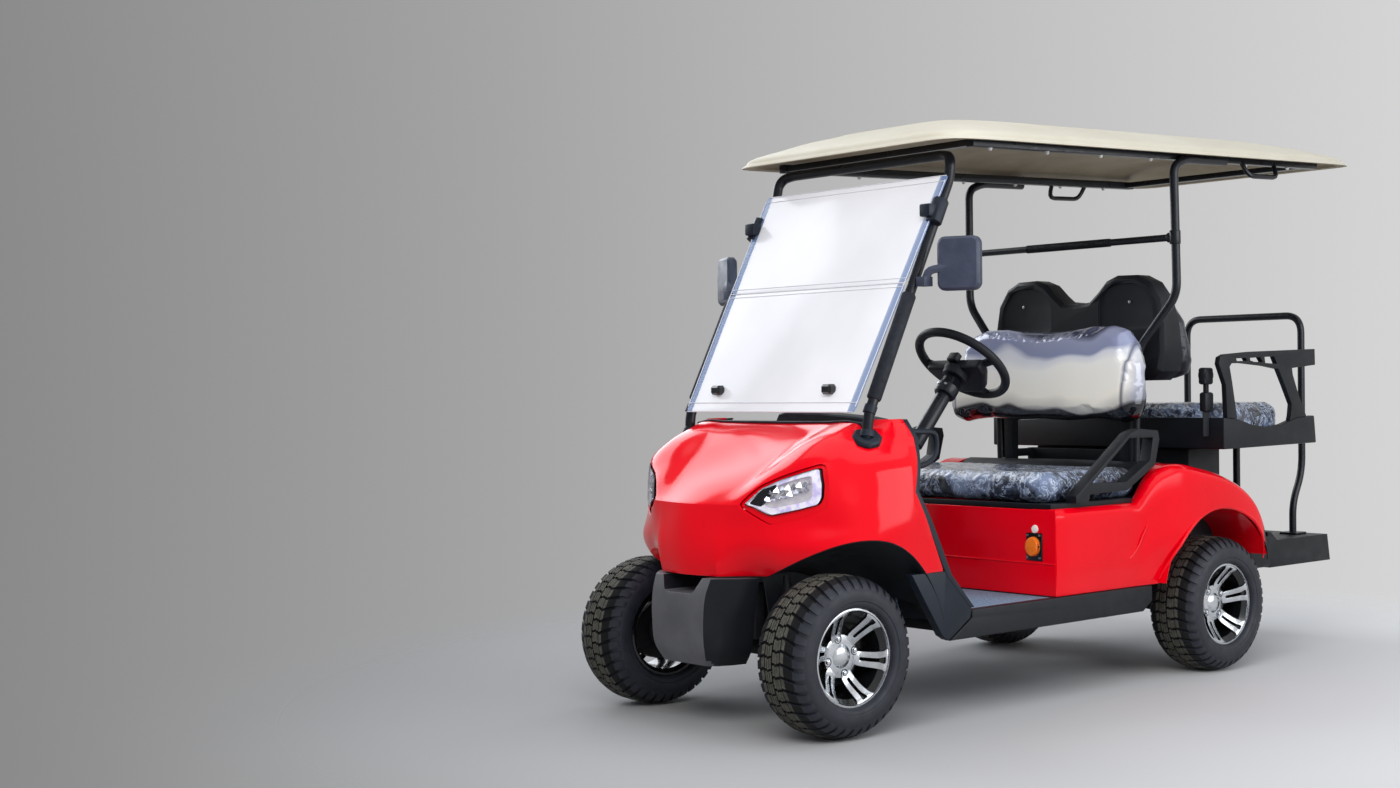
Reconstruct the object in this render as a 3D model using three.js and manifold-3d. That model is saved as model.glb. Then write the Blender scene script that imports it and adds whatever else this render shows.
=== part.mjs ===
// A four-seat electric golf cart: two seats facing forward, two facing rear, a canopy roof and a
// fold-down windscreen. Lengths are millimetres. The cart faces -Y, its left side is +X, +Z is up.
// Inside the cart group every Y is measured from the front axle and every Z from the ground.
import * as THREE from 'three';
import { mergeVertices } from 'three/addons/utils/BufferGeometryUtils.js';
import Module from 'manifold-3d';

const wasm = await Module();
wasm.setup();

// Running gear
const wheelbase = 1653;
const frontTrack = 860;
const rearTrack = 969;
const tyreRadius = 229.5;
const tyreHalf = 99;
const kingpinX = 335;
const steeringArm = 100;
const tieRodZ = 185;
// Bodywork
const bodyHalf = 530;
const sillLow = 240;
const sillTop = 323;
const floorTop = 322;
const bodyFront = 830;
const seatTop = 593;
const deckFront = 1238;
const archY = 1623;
const archZ = 257;
const archRadius = 302;
// Roof and its frame
const roofHalf = 516;
const roofFront = 405;
const roofRear = 2558;
const roofFrontZ = 1708;
const roofRise = 0.0426;
const roofCrown = 112;
const tubeRadius = 15;
// Seats
const frontSeatHalf = 476;
const frontSeatRear = 1340;
const rearSeatHalf = 505;
const rearSeatEnd = 2110;
const trayHalf = 545;
const trayFront = 1676;
const trayRear = 2240;
const trayLow = 755;
const trayTop = 862;
// Rear step
const stepHalf = 380;
const stepFront = 2165;
const stepRear = 2560;
const stepTop = 400;
// The middle of the cart's length, from the front axle
const lengthMiddle = (stepRear + 18 - tyreRadius) / 2;
// Pieces that touch keep this gap
const gap = 0.4;

function finish(color, roughness, metalness) {
  return new THREE.MeshStandardMaterial({ color, roughness, metalness });
}

const redPaint = finish(0xe0121c, 0.25, 0.0);
const creamRoof = finish(0xe9e4d2, 0.45, 0.0);
const blackTube = finish(0x1a1b1d, 0.35, 0.3);
const blackPlastic = finish(0x202124, 0.6, 0.0);
const greyPlastic = finish(0x3a3c42, 0.6, 0.0);
const darkSteel = finish(0x2a2b2d, 0.5, 0.6);
const tyreRubber = finish(0x17181a, 0.85, 0.0);
const rimAlloy = finish(0xb9bcc0, 0.25, 0.9);
const vinyl = finish(0x23242c, 0.35, 0.0);
const clearPanel = finish(0xdfe6ea, 0.05, 0.0);
const matGrey = finish(0x4b5560, 0.95, 0.0);
const lampClear = finish(0xe8eaee, 0.1, 0.2);
const socketOrange = finish(0xe8721a, 0.5, 0.0);

const cart = new THREE.Group();
cart.position.y = -lengthMiddle;

// ---------- shaping helpers ----------

const [alongX, alongY, alongZ] = [[1, 0, 0], [0, 1, 0], [0, 0, 1]].map((axis) => new THREE.Vector3(...axis));

function toSolid(geometry) {
  const bare = geometry.clone();
  bare.deleteAttribute('normal');
  bare.deleteAttribute('uv');
  const merged = mergeVertices(bare, 1e-3);
  const vertProperties = new Float32Array(merged.attributes.position.array);
  const triVerts = new Uint32Array(merged.index.array);
  return new wasm.Manifold(new wasm.Mesh({ numProp: 3, vertProperties, triVerts }));
}

function toGeometry(solid) {
  const mesh = solid.getMesh();
  const geometry = new THREE.BufferGeometry();
  geometry.setAttribute('position', new THREE.BufferAttribute(new Float32Array(mesh.vertProperties), 3));
  geometry.setIndex(new THREE.BufferAttribute(new Uint32Array(mesh.triVerts), 1));
  geometry.computeVertexNormals();
  return geometry;
}

function join(...geometries) {
  return toGeometry(geometries.map(toSolid).reduce((sum, next) => sum.add(next)));
}

function cut(geometry, ...tools) {
  return toGeometry(tools.map(toSolid).reduce((left, tool) => left.subtract(tool), toSolid(geometry)));
}

function common(first, second) {
  return toGeometry(toSolid(first).intersect(toSolid(second)));
}

// The same shape on the other side of the middle plane, faces still pointing out
function mirror(geometry) {
  const flipped = mergeVertices(geometry.clone().deleteAttribute('normal').deleteAttribute('uv'), 1e-3);
  flipped.scale(-1, 1, 1);
  const index = flipped.index.array;
  for (let i = 0; i < index.length; i += 3) {
    [index[i + 1], index[i + 2]] = [index[i + 2], index[i + 1]];
  }
  flipped.computeVertexNormals();
  return flipped;
}

function bothSides(geometry) {
  return [geometry, mirror(geometry)];
}

function box(x0, x1, y0, y1, z0, z1) {
  const geometry = new THREE.BoxGeometry(x1 - x0, y1 - y0, z1 - z0);
  return geometry.translate((x0 + x1) / 2, (y0 + y1) / 2, (z0 + z1) / 2);
}

// A cylinder between two points, or a cone when the second radius differs
function rod(from, to, radius, sides = 12, endRadius = radius) {
  const start = new THREE.Vector3(...from);
  const end = new THREE.Vector3(...to);
  const along = end.clone().sub(start);
  const geometry = new THREE.CylinderGeometry(endRadius, radius, along.length(), sides);
  const turn = new THREE.Quaternion().setFromUnitVectors(alongY, along.clone().normalize());
  geometry.applyQuaternion(turn);
  return geometry.translate(...start.add(end).multiplyScalar(0.5).toArray());
}

// A polygon in the named plane, pushed from one place to another along the third axis
const planes = {
  side: new THREE.Matrix4().makeBasis(alongY, alongZ, alongX),
  plan: new THREE.Matrix4(),
  front: new THREE.Matrix4().makeBasis(alongX, alongZ, alongY.clone().negate()),
};

function outline(points, window = null) {
  const corners = points.map(([a, b]) => new THREE.Vector2(a, b));
  const shape = new THREE.Shape(THREE.ShapeUtils.isClockWise(corners) ? corners.reverse() : corners);
  if (window) {
    shape.holes.push(new THREE.Path(window.map(([a, b]) => new THREE.Vector2(a, b))));
  }
  return shape;
}

function slab(plane, shape, low, high, bevel = 0) {
  const form = Array.isArray(shape) ? outline(shape) : shape;
  const geometry = new THREE.ExtrudeGeometry(form, {
    depth: high - low - 2 * bevel,
    bevelEnabled: bevel > 0,
    bevelThickness: bevel,
    bevelSize: bevel,
    bevelOffset: -bevel,
    bevelSegments: 1,
    curveSegments: 4,
  });
  geometry.translate(0, 0, bevel + (plane === 'front' ? -high : low));
  return geometry.applyMatrix4(planes[plane]);
}

// A path through corners that are rounded by short bends
class BentPath extends THREE.Curve {
  constructor(corners, bend, bendSteps) {
    super();
    const at = corners.map((corner) => new THREE.Vector3(...corner));
    this.stops = [at[0]];
    for (let i = 1; i < at.length - 1; i += 1) {
      const before = at[i - 1].clone().sub(at[i]);
      const after = at[i + 1].clone().sub(at[i]);
      const reach = Math.min(bend, before.length() * 0.45, after.length() * 0.45);
      const arc = new THREE.QuadraticBezierCurve3(
        at[i].clone().add(before.setLength(reach)), at[i], at[i].clone().add(after.setLength(reach)));
      this.stops.push(...arc.getPoints(bendSteps));
    }
    this.stops.push(at[at.length - 1]);
  }

  getPoint(t) {
    return this.stops[Math.round(t * (this.stops.length - 1))].clone();
  }

  getPointAt(t) {
    return this.getPoint(t);
  }

  getSpacedPoints() {
    return this.stops.map((stop) => stop.clone());
  }

  getTangentAt(t) {
    const i = Math.round(t * (this.stops.length - 1));
    const last = this.stops.length - 1;
    return this.stops[Math.min(i + 1, last)].clone().sub(this.stops[Math.max(i - 1, 0)]).normalize();
  }
}

function tube(corners, radius, { bend = 60, bendSteps = 3, sides = 8, flat = 1 } = {}) {
  const path = new BentPath(corners, bend, bendSteps);
  const section = [];
  for (let i = 0; i < sides; i += 1) {
    const angle = (2 * Math.PI * (i + 0.5)) / sides;
    section.push([radius * Math.cos(angle), radius * flat * Math.sin(angle)]);
  }
  const steps = path.stops.length - 1;
  return new THREE.ExtrudeGeometry(outline(section), { steps, extrudePath: path, bevelEnabled: false });
}

// A closed skin through rings of equal point count, its two end rings filled in
function loft(rings, flatten) {
  const count = rings[0].length;
  const positions = rings.flat(2);
  const triangles = [];
  for (let r = 0; r < rings.length - 1; r += 1) {
    for (let i = 0; i < count; i += 1) {
      const next = (i + 1) % count;
      const [a, b, c, d] = [r * count + i, r * count + next, (r + 1) * count + next, (r + 1) * count + i];
      triangles.push(a, b, c, a, c, d);
    }
  }
  for (const [ring, base, flip] of [[rings[0], 0, true], [rings.at(-1), (rings.length - 1) * count, false]]) {
    const contour = ring.map((point) => new THREE.Vector2(...flatten(point)));
    for (const face of THREE.ShapeUtils.triangulateShape(contour, [])) {
      const [a, b, c] = face.map((k) => k + base);
      triangles.push(...(flip ? [a, c, b] : [a, b, c]));
    }
  }
  let volume = 0;
  const corner = (k) => new THREE.Vector3(...positions.slice(3 * k, 3 * k + 3));
  for (let i = 0; i < triangles.length; i += 3) {
    const [a, b, c] = [corner(triangles[i]), corner(triangles[i + 1]), corner(triangles[i + 2])];
    volume += a.dot(b.cross(c));
  }
  if (volume < 0) {
    triangles.reverse();
  }
  const geometry = new THREE.BufferGeometry();
  geometry.setAttribute('position', new THREE.Float32BufferAttribute(positions, 3));
  geometry.setIndex(triangles);
  geometry.computeVertexNormals();
  return geometry;
}

function add(name, geometry, material, parent = cart) {
  const mesh = new THREE.Mesh(geometry, material);
  mesh.name = name;
  parent.add(mesh);
  return mesh;
}

// The left piece is modelled, the right one is its mirror image
function addPair(name, geometry, material) {
  add(`${name}_left`, geometry, material);
  add(`${name}_right`, geometry.clone(), material).scale.x = -1;
}

// ---------- front body ----------

// Half outlines of the nose in plan, level by level: z, then x, y of centre, ridge, lamp inner,
// lamp middle, lamp outer, flare, side and rear corner
const cowlLevels = [
  [445, [0, -196], [130, -178], [222, -92], [330, -60], [412, -16], [477, 30], [519, 84], [530, 330]],
  [490, [0, -203], [135, -186], [222, -125], [325, -85], [411, -38], [477, 16], [520, 80], [531, 330]],
  [530, [0, -205], [139, -186], [222, -142], [320, -98], [414, -46], [480, 10], [522, 78], [532, 330]],
  [600, [0, -200], [139, -174], [207, -150], [295, -104], [402, -34], [474, 20], [522, 90], [532, 330]],
  [650, [0, -190], [139, -168], [210, -150], [302, -106], [406, -32], [468, 24], [514, 100], [531, 330]],
  [700, [0, -118], [160, -106], [234, -118], [308, -90], [406, -30], [460, 34], [506, 110], [526, 330]],
  [756, [0, -25], [188, -36], [264, -60], [326, -60], [404, -22], [448, 46], [490, 120], [514, 330]],
  [820, [0, 70], [225, 50], [300, 16], [350, 18], [402, 60], [421, 115], [448, 172], [480, 330]],
  [860, [0, 125], [250, 115], [320, 100], [362, 108], [385, 146], [402, 181], [424, 219], [448, 330]],
  [886, [0, 170], [265, 168], [330, 165], [370, 175], [395, 200], [406, 225], [412, 250], [414, 330]],
];
const cowlWall = 14;

function cowlForm(wall) {
  const rings = cowlLevels.map(([z, ...half]) => {
    const level = z - (z > 800 ? wall : 0);
    const narrow = 1 - wall / bodyHalf;
    const back = (x) => wall * (1 - x / (2 * bodyHalf)) + (z > 640 ? wall : 0) * (1 - x / bodyHalf);
    const inner = half.map(([x, y]) => [x * narrow, y + back(x)]);
    const other = inner.slice(1).reverse().map(([x, y]) => [-x, y]);
    return [...inner, ...other].map(([x, y]) => [x, y, level]);
  });
  if (wall > 0) {
    rings.unshift(rings[0].map(([x, y]) => [x, y, 400]));
  }
  return loft(rings, ([x, y]) => [x, y]);
}

// Side view of what lies behind the cowl's rear edge: y, z
const cowlRear = [
  [285, 900], [282, 830], [250, 752], [226, 680], [326, 462], [340, 430], [500, 400], [500, 900],
];
const wheelArch = rod([222, -5, 215], [540, -5, 215], 236, 40, 354);
// The headlamp's outline in front view: x, z
const lampOutline = [
  [209, 650], [240, 641], [268, 625], [286, 617], [360, 635], [406, 650], [414, 670], [414, 707],
  [406, 753], [400, 758], [354, 742], [299, 723], [252, 698], [227, 670],
];
const lampCut = slab('front', lampOutline, -400, 20);
// Where each windscreen post stands on the cowl, where it first bends, and the cowl's slope there
const postFoot = [417, 141, 832];
const postKnee = [421, 147, 905];
const padTilt = [0.5, -0.31, 0.81];

function fromFoot(direction, share) {
  return postFoot.map((value, i) => value + direction[i] * share);
}

function frontCowl() {
  const shell = cut(cowlForm(0), cowlForm(cowlWall), ...bothSides(wheelArch));
  const trimmed = cut(shell, slab('side', cowlRear, -600, 600));
  const dashNotch = join(box(-352, 352, 150, 400, 700, 1000), box(340, 386, 150, 400, 845, 1000));
  const postWay = postKnee.map((value, i) => value - postFoot[i]);
  const postHole = rod(fromFoot(postWay, -0.7), fromFoot(postWay, 0.9), 17.5, 16);
  return cut(trimmed, dashNotch, ...bothSides(lampCut), ...bothSides(postHole));
}

add('front_cowl', frontCowl(), redPaint);

function headlamp() {
  const inset = lampOutline.map(([x, z]) => [332 + (x - 332) * 0.965, 686 + (z - 686) * 0.955]);
  const lens = slab('front', inset, -400, 18);
  const behind = cut(lens, cowlForm(34));
  return common(behind, cowlForm(3));
}

addPair('headlamp', headlamp(), lampClear);

// Black side panel below the cowl: y, z
const lowerPanel = [
  [207, 444], [345, 444], [352, 436], [448, 332], [441, 300], [352, 243], [327, 258], [262, 360],
];

// Trim strip along the cowl's rear edge: z, y of its front and rear, x of its outer face
const trimStrip = [
  [885, 286, 303, 415], [830, 283, 299, 466], [752, 251, 268, 507], [680, 227, 247, 521], [600, 264, 285, 531],
  [530, 296, 318, 533], [464, 327, 350, 532], [432, 345, 366, 531.5], [330, 441, 458, 531],
];
function sideTrim() {
  const rings = trimStrip.map(([z, front, rear, outer]) => {
    const corners = [[outer, front], [outer, rear], [outer - 15, rear], [outer - 15, front]];
    return corners.map(([x, y]) => [x, y + gap, z]);
  });
  return join(slab('side', lowerPanel, 500, 530), loft(rings, ([x, y]) => [x, y]));
}

addPair('side_trim', sideTrim(), blackPlastic);

// Dash section behind the hood: y, z
const dashSection = [
  [152, 702], [152, 874], [160, 879], [215, 880], [262, 873], [300, 850],
  [318, 790], [300, 640], [250, 600], [230, 600], [230, 702],
];
// Instrument hood on the driver's side: x, z
const binnacle = [
  [-66, 850], [-59, 879], [-45, 901], [-6, 908], [147, 904], [311, 893], [359, 886], [382, 874], [382, 850],
];
const grabLoop = [
  [340, 270, 846], [380, 330, 848], [380, 458, 844], [380, 456, 772], [380, 405, 744], [380, 330, 744], [340, 262, 742],
];
function dash() {
  const body = cut(slab('side', dashSection, -350, 350), box(-300, -60, 270, 400, 690, 790));
  return join(body, slab('front', binnacle, 196, 284, 5), tube(grabLoop, 9, { bend: 30 }));
}

add('dash', dash(), blackPlastic);

// Bumper: half outline in plan by level: z, then x, y of middle, bevel, corner, side and back
const bumperLevels = [
  [188, [0, -196], [100, -196], [124, -172], [140, -140], [150, -92]],
  [230, [0, -216], [116, -216], [146, -180], [164, -140], [176, -92]],
  [310, [0, -224], [122, -224], [152, -182], [172, -140], [186, -92]],
  [400, [0, -218], [126, -216], [164, -170], [192, -130], [206, -92]],
  [440, [0, -204], [130, -202], [186, -150], [208, -118], [216, -92]],
];

function bumper() {
  const rings = bumperLevels.map(([z, ...half]) => {
    const other = half.slice(1).reverse().map(([x, y]) => [-x, y]);
    return [...half, ...other].map(([x, y]) => [x, y, z]);
  });
  const form = loft(rings, ([x, y]) => [x, y]);
  const scoop = slab('front', [[-98, 450], [-66, 394], [66, 394], [98, 450]], -260, -60);
  const hollow = box(-112, 112, -190, -80, 212, 380);
  return cut(form, scoop, hollow);
}

add('front_bumper', bumper(), greyPlastic);

// ---------- floor, sills and frame ----------

const floorPlan = [
  [-500, 460], [-460, 330], [-380, 300], [380, 300], [460, 330], [500, 460], [500, 829], [-500, 829],
];
function floorPan() {
  const plate = slab('plan', floorPlan, floorTop - 20, floorTop);
  const toeBoard = [[300, floorTop - 20], [310, floorTop - 20], [224, 598], [214, 598]];
  return join(plate, slab('side', toeBoard, -376, 376));
}

add('floor_pan', floorPan(), matGrey);
const sillSection = [
  [357, sillLow], [450, 299], [450, sillTop], [1296, sillTop], [1296, 270], [1250, sillLow],
];
addPair('sill', slab('side', sillSection, 501, bodyHalf), blackPlastic);

// Rail in side view: y, z
const railSide = [
  [-91.6, 262], [1330, 262], [1440, 400], [1850, 400], [1930, 300], [2180, 300], [2180, 340],
  [1950, 340], [1870, 440], [1420, 440], [1310, 298], [-60, 298], [-60, 420], [-91.6, 420],
];
// Cross bars: front y, lower z, half length
const railCrosses = [
  [-80, 264, 150], [330, 264, 150], [800, 264, 150], [1290, 264, 150], [1470, 402, 150], [2105, 304, 291],
];
function frameRails() {
  const rail = slab('side', railSide, 145, 195);
  const crosses = railCrosses.map(([y, low, half]) => box(-half, half, y, y + 40, low, low + 32));
  const outriggers = [360, 810].map((y) => box(-495, 495, y, y + 40, 264, 298));
  const towers = bothSides(box(146, 194, -40, 10, 290, 420));
  return join(...bothSides(rail), ...crosses, ...outriggers, ...towers);
}

add('frame_rails', frameRails(), darkSteel);

// ---------- rear body ----------

// Half sections of the rear body: y, bottom z and half width, waist z and half width,
// shoulder z and half width, top z and half width
const bodySections = [
  [bodyFront, 325, 522, 400, 526, 575, 523, seatTop, 503],
  [deckFront, 325, 524, 400, 530, 575, 526, seatTop, 503],
  [1320, 325, 530, 450, 550, 662, 545, 680, 512],
  [1400, 325, 535, 450, 572, 690, 564, 710, 530],
  [1550, 325, 540, 450, 584, 675, 574, 694, 535],
  [1700, 325, 540, 450, 584, 636, 574, 655, 535],
  [1780, 325, 540, 450, 582, 600, 570, 622, 530],
  [1830, 325, 540, 430, 578, 562, 568, 585, 525],
  [1880, 325, 535, 400, 572, 495, 562, 516, 520],
  [1905, 325, 532, 370, 562, 405, 555, 424, 510],
];

function rearBody() {
  const rings = bodySections.map(([y, ...pairs]) => {
    const half = [];
    for (let i = 0; i < pairs.length; i += 2) {
      half.push([pairs[i + 1], pairs[i]]);
    }
    const other = half.map(([x, z]) => [-x, z]).reverse();
    return [...half, ...other].map(([x, z]) => [x, y, z]);
  });
  const form = loft(rings, ([x, , z]) => [x, z]);
  const arch = rod([345, archY, archZ], [640, archY, archZ], archRadius, 40);
  const batteryBay = box(-430, 430, bodyFront + 20, 1262, 345, 760);
  const underSpace = box(-344, 344, 1300, 2000, 300, 560);
  const boxHole = box(-361, 361, 1719, 2000, 430, 760);
  const seatHole = box(-486, 486, 1200, frontSeatRear + 8, seatTop, 760);
  const socketHole = box(400, 470, bodyFront - 5, bodyFront + 12, 430, 520);
  return cut(form, ...bothSides(arch), batteryBay, underSpace, boxHole, seatHole, socketHole);
}

add('rear_body', rearBody(), redPaint);
add('battery_pack', box(-400, 400, 880, 1240, 346, 560), blackPlastic);
const socketPlate = box(402, 468, bodyFront - 4, bodyFront + 11, 432, 518);
add('charge_socket', join(socketPlate, rod([435, 827, 477], [435, 815, 477], 26, 16)), socketOrange);

// ---------- seats ----------

function roundedSlab(plane, halfWide, low, high, from, to, corner, bevel) {
  const shape = new THREE.Shape();
  shape.moveTo(-halfWide + corner, low);
  shape.lineTo(halfWide - corner, low);
  shape.absarc(halfWide - corner, low + corner, corner, -Math.PI / 2, 0);
  shape.absarc(halfWide - corner, high - corner, corner, 0, Math.PI / 2);
  shape.absarc(-halfWide + corner, high - corner, corner, Math.PI / 2, Math.PI);
  shape.absarc(-halfWide + corner, low + corner, corner, Math.PI, 1.5 * Math.PI);
  return slab(plane, shape, from, to, bevel);
}

function seatBase() {
  const plate = join(
    box(-496, 496, 838, deckFront - 2, seatTop + gap, seatTop + 16),
    box(-484, 484, 838, frontSeatRear, seatTop + gap, seatTop + 16));
  return cut(plate, box(-425, 425, 860, 1220, 590, 620));
}

add('seat_base', seatBase(), blackPlastic);
add('front_cushion', roundedSlab('plan', frontSeatHalf, 846, frontSeatRear, 611, 700, 60, 16), vinyl);

// Turned about an axis along X through y, z: a positive angle leans the top forward
function leaned(geometry, degrees, y, z) {
  return geometry.translate(0, -y, -z).rotateX(THREE.MathUtils.degToRad(degrees)).translate(0, y, z);
}

function wholeOutline(half) {
  return [...half, ...half.filter(([x]) => x > 0).reverse().map(([x, z]) => [-x, z])];
}

// Backs in front view, right half: x, z
const frontBackHalf = [
  [0, 832], [120, 827], [240, 836], [390, 830], [436, 848], [458, 890], [461, 935], [444, 1050],
  [408, 1130], [368, 1178], [310, 1200], [210, 1203], [110, 1192], [0, 1186],
];
const shellHalf = [
  [0, 1268], [60, 1274], [100, 1306], [140, 1345], [190, 1363], [280, 1361], [335, 1335], [378, 1275],
  [396, 1180], [398, 1090], [384, 1025], [340, 995], [0, 992],
];
const rearBackHalf = [
  [0, 985], [340, 985], [392, 1004], [408, 1050], [406, 1110],
  [388, 1200], [350, 1262], [280, 1300], [130, 1304], [0, 1290],
];
const frontBack = slab('front', wholeOutline(frontBackHalf), 1308, 1402, 26);
add('front_backrest', leaned(frontBack, -10, 1400, 850), vinyl);

// The shell is thick at its foot, where the rear back leans on it
const shellRear = [[1605, 1400], [1654, 940], [1800, 940], [1800, 1400]];
const seatPosts = [
  ...bothSides(box(257, 293, 1470, 1506, 707, 1060)),
  ...bothSides(box(262, 288, 1590, 1616, 694, 752)),
  ...bothSides(box(262, 288, 1500, 1595, 722, 750)),
  box(-265, 265, 1592, 1614, 712, 750),
  box(-300, 300, 1475, 1545, 1020, 1050),
];
const shellBlock = slab('front', wholeOutline(shellHalf), 1530, 1670, 14);
add('backrest_shell', join(cut(shellBlock, slab('side', shellRear, -600, 600)), ...seatPosts), blackPlastic);
const rearBack = slab('front', wholeOutline(rearBackHalf), 1655, 1745, 24);
add('rear_backrest', leaned(rearBack, 6, 1655, 940), vinyl);

// Top edge of the tray's side with its scoop: y, z
const trayEdge = [
  [trayRear - 12, trayTop], [2120, 856], [2030, 834], [1932, 826],
  [1840, 838], [1760, 858], [trayFront, trayTop + 2],
];
const traySide = [[trayFront, trayLow], [trayRear, trayLow + 8], ...trayEdge];

function rearTray() {
  const hollow = box(30 - trayHalf, trayHalf - 30, trayFront + 30, 2300, trayLow + 24, 900);
  const legs = bothSides(box(262, 284, 2112, 2134, 336.4, trayLow + 12));
  return join(cut(slab('side', traySide, -trayHalf, trayHalf), hollow), ...legs);
}

add('rear_tray', rearTray(), blackPlastic);
const rearCushion = roundedSlab('plan', rearSeatHalf, trayFront + 46, rearSeatEnd, trayLow + 26, 908, 50, 20);
add('rear_cushion', rearCushion, vinyl);
add('rear_seat_box', box(-360, 360, 1720, 1902, 442, trayLow - gap), blackPlastic);

// Armrests beside the rear seat: y, z
const armrestSide = [
  [1653, 1048], [1660, 1071], [1688, 1081], [1838, 1091], [2128, 1101], [2236, 1104], [2238, 1046],
  [2091, 1034], [2095, 1011], [2130, 940], [2174, 869], [2215, 790], [2056, 790], [2082, 866], [2088, 904],
  [2045, 972], [2006, 1031], [1918, 1042], [1785, 1051], [1727, 1050], [1715, 1038], [1728, 989],
  [1755, 868], [1770, 790], [1708, 790], [1699, 867], [1692, 977],
];
const armrestWindows = [
  [[1753, 1067], [1808, 1069], [1818, 1059], [1757, 1058]],
  [[1834, 1069], [1895, 1072], [1910, 1055], [1838, 1056]],
  [[1922, 1073], [1980, 1075], [1998, 1049], [1926, 1052]],
];
// The feet stand on the tray's sides
const trayRoom = [
  [1500, 700], [2400, 700], [2400, trayTop + 1],
  ...trayEdge.map(([y, z]) => [y, z + 0.6]), [1500, trayTop + 3],
];
const armrest = slab('side', armrestSide, trayHalf - 22, trayHalf - 2);
const armrestCuts = [trayRoom, ...armrestWindows].map((shape) => slab('side', shape, 400, 600));
addPair('rear_armrest', cut(armrest, ...armrestCuts), blackPlastic);

// Hip restraints beside the front seat: y, z
const restraintSide = [
  [925, 612], [985, 612], [992, 634], [1176, 639], [1321, 715],
  [1345, 800], [1338, 828], [1244, 836], [1195, 822], [925, 631],
];
const restraintHole = [[1000, 668], [1170, 665], [1295, 730], [1311, 806], [1190, 807]];
function hipRestraint() {
  const foot = box(484, 525, 925, 985, seatTop + 16.4, 622);
  return join(slab('side', outline(restraintSide, restraintHole), 482, 526), foot);
}

addPair('hip_restraint', hipRestraint(), blackPlastic);

// ---------- roof ----------

function roofZ(y) {
  return roofFrontZ + (y - 439) * roofRise;
}

// Roof rings from the middle of the underside, over the lip, to the middle of the top:
// share of the half width, height over the lip, squareness of the corners
const roofRings = [
  [0.05, 90, 0.3], [0.5, 74, 0.3], [0.85, 34, 0.22], [0.955, 14, 0.16],
  [0.965, 2, 0.14], [0.995, 0, 0.13], [1, 12, 0.13], [0.985, 26, 0.14],
  [0.87, 50, 0.18], [0.65, 84, 0.24], [0.4, 104, 0.3], [0.05, roofCrown, 0.3],
];

function roof() {
  const middle = (roofFront + roofRear) / 2;
  const halfLong = (roofRear - roofFront) / 2;
  const steps = 48;
  const rings = roofRings.map(([share, lift, square]) => {
    const ring = [];
    for (let i = 0; i < steps; i += 1) {
      const angle = (2 * Math.PI * (i + 0.5)) / steps;
      const round = (value) => Math.sign(value) * Math.abs(value) ** square;
      const x = roofHalf * share * round(Math.cos(angle));
      const y = middle + (halfLong - roofHalf * (1 - share)) * round(Math.sin(angle));
      ring.push([x, y, roofZ(y) + lift]);
    }
    return ring;
  });
  return loft(rings, ([x, y]) => [x, y]);
}

add('roof', roof(), creamRoof);

// ---------- roof frame ----------

const hoopHalf = [
  postFoot, postKnee, [420, 325, 1275], [405, 497, 1600], [403, 505, 1650],
  [388, 516, 1672], [350, 524, 1680], [0, 524, 1680],
];
function frontHoop() {
  const other = hoopHalf.slice(0, -1).reverse().map(([x, y, z]) => [-x, y, z]);
  const block = rod(fromFoot(padTilt, -34), fromFoot(padTilt, 7), 45, 8);
  const pad = join(block, rod(fromFoot(padTilt, 7), fromFoot(padTilt, 12), 45, 8, 38));
  const pads = cut(join(...bothSides(pad)), cowlForm(-0.6));
  return join(tube([...hoopHalf, ...other], tubeRadius + 1, { bend: 50 }), pads);
}

add('windscreen_hoop', frontHoop(), blackTube);

const rearPost = [
  [316, 1478, 716], [330, 1482, 1100], [487, 1496, 1283], [482, 1490, 1715],
  [480, 1560, roofZ(1560) - 12], [480, 1780, roofZ(1780) - 12],
];
const postBar = tube([[-484, 1493, 1475], [484, 1493, 1475]], 12);
add('rear_post_frame', join(...bothSides(tube(rearPost, tubeRadius, { bend: 45 })), postBar), blackTube);

function roofFrame() {
  const [front, rear, low, high] = [552, 2395, -12, 16];
  const corners = [[front, low], [rear, low], [rear, high], [front, high]];
  const rail = slab('side', corners.map(([y, lift]) => [y, roofZ(y) + lift]), 425, 455);
  const grip = [[446, 1919, 2], [474, 1932, -56], [474, 2107, -56], [446, 2120, 2]];
  const handle = tube(grip.map(([x, y, lift]) => [x, y, roofZ(y) + lift]), 9, { bend: 34, sides: 6 });
  const crossBars = [560, 2340].map((y) => box(-430, 430, y, y + 30, roofZ(y) - 8, roofZ(y) + 12));
  return join(...bothSides(rail), ...bothSides(handle), ...crossBars);
}

add('roof_frame', roofFrame(), blackTube);

// ---------- windscreen ----------

const screenLean = 0.517;
function screenPanel(low, high) {
  const rings = [low, high].map((z) => {
    const [half, front] = [395 + (z - 905) * 0.0385, 109 + (z - 905) * screenLean];
    return [[-half, front, z], [half, front, z], [half, front + 6, z], [-half, front + 6, z]];
  });
  return loft(rings, ([x, y]) => [x, y]);
}

add('windscreen_lower', screenPanel(907, 1282), clearPanel);
add('windscreen_upper', screenPanel(1286, 1612), clearPanel);

// ---------- mirrors and handles ----------

function mirrorHead() {
  const head = roundedSlab('front', 67, 1258, 1416, -17, 17, 24, 8);
  head.rotateZ(THREE.MathUtils.degToRad(22)).translate(545, 397, 0);
  const bracket = box(437.5, 472, 324, 358, 1272, 1300);
  return join(head, bracket, tube([[458, 341, 1286], [470, 343, 1318], [524, 389, 1330]], 13, { bend: 20, sides: 6 }));
}

addPair('door_mirror', mirrorHead(), blackPlastic);

// ---------- rear hoop and step ----------

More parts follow.
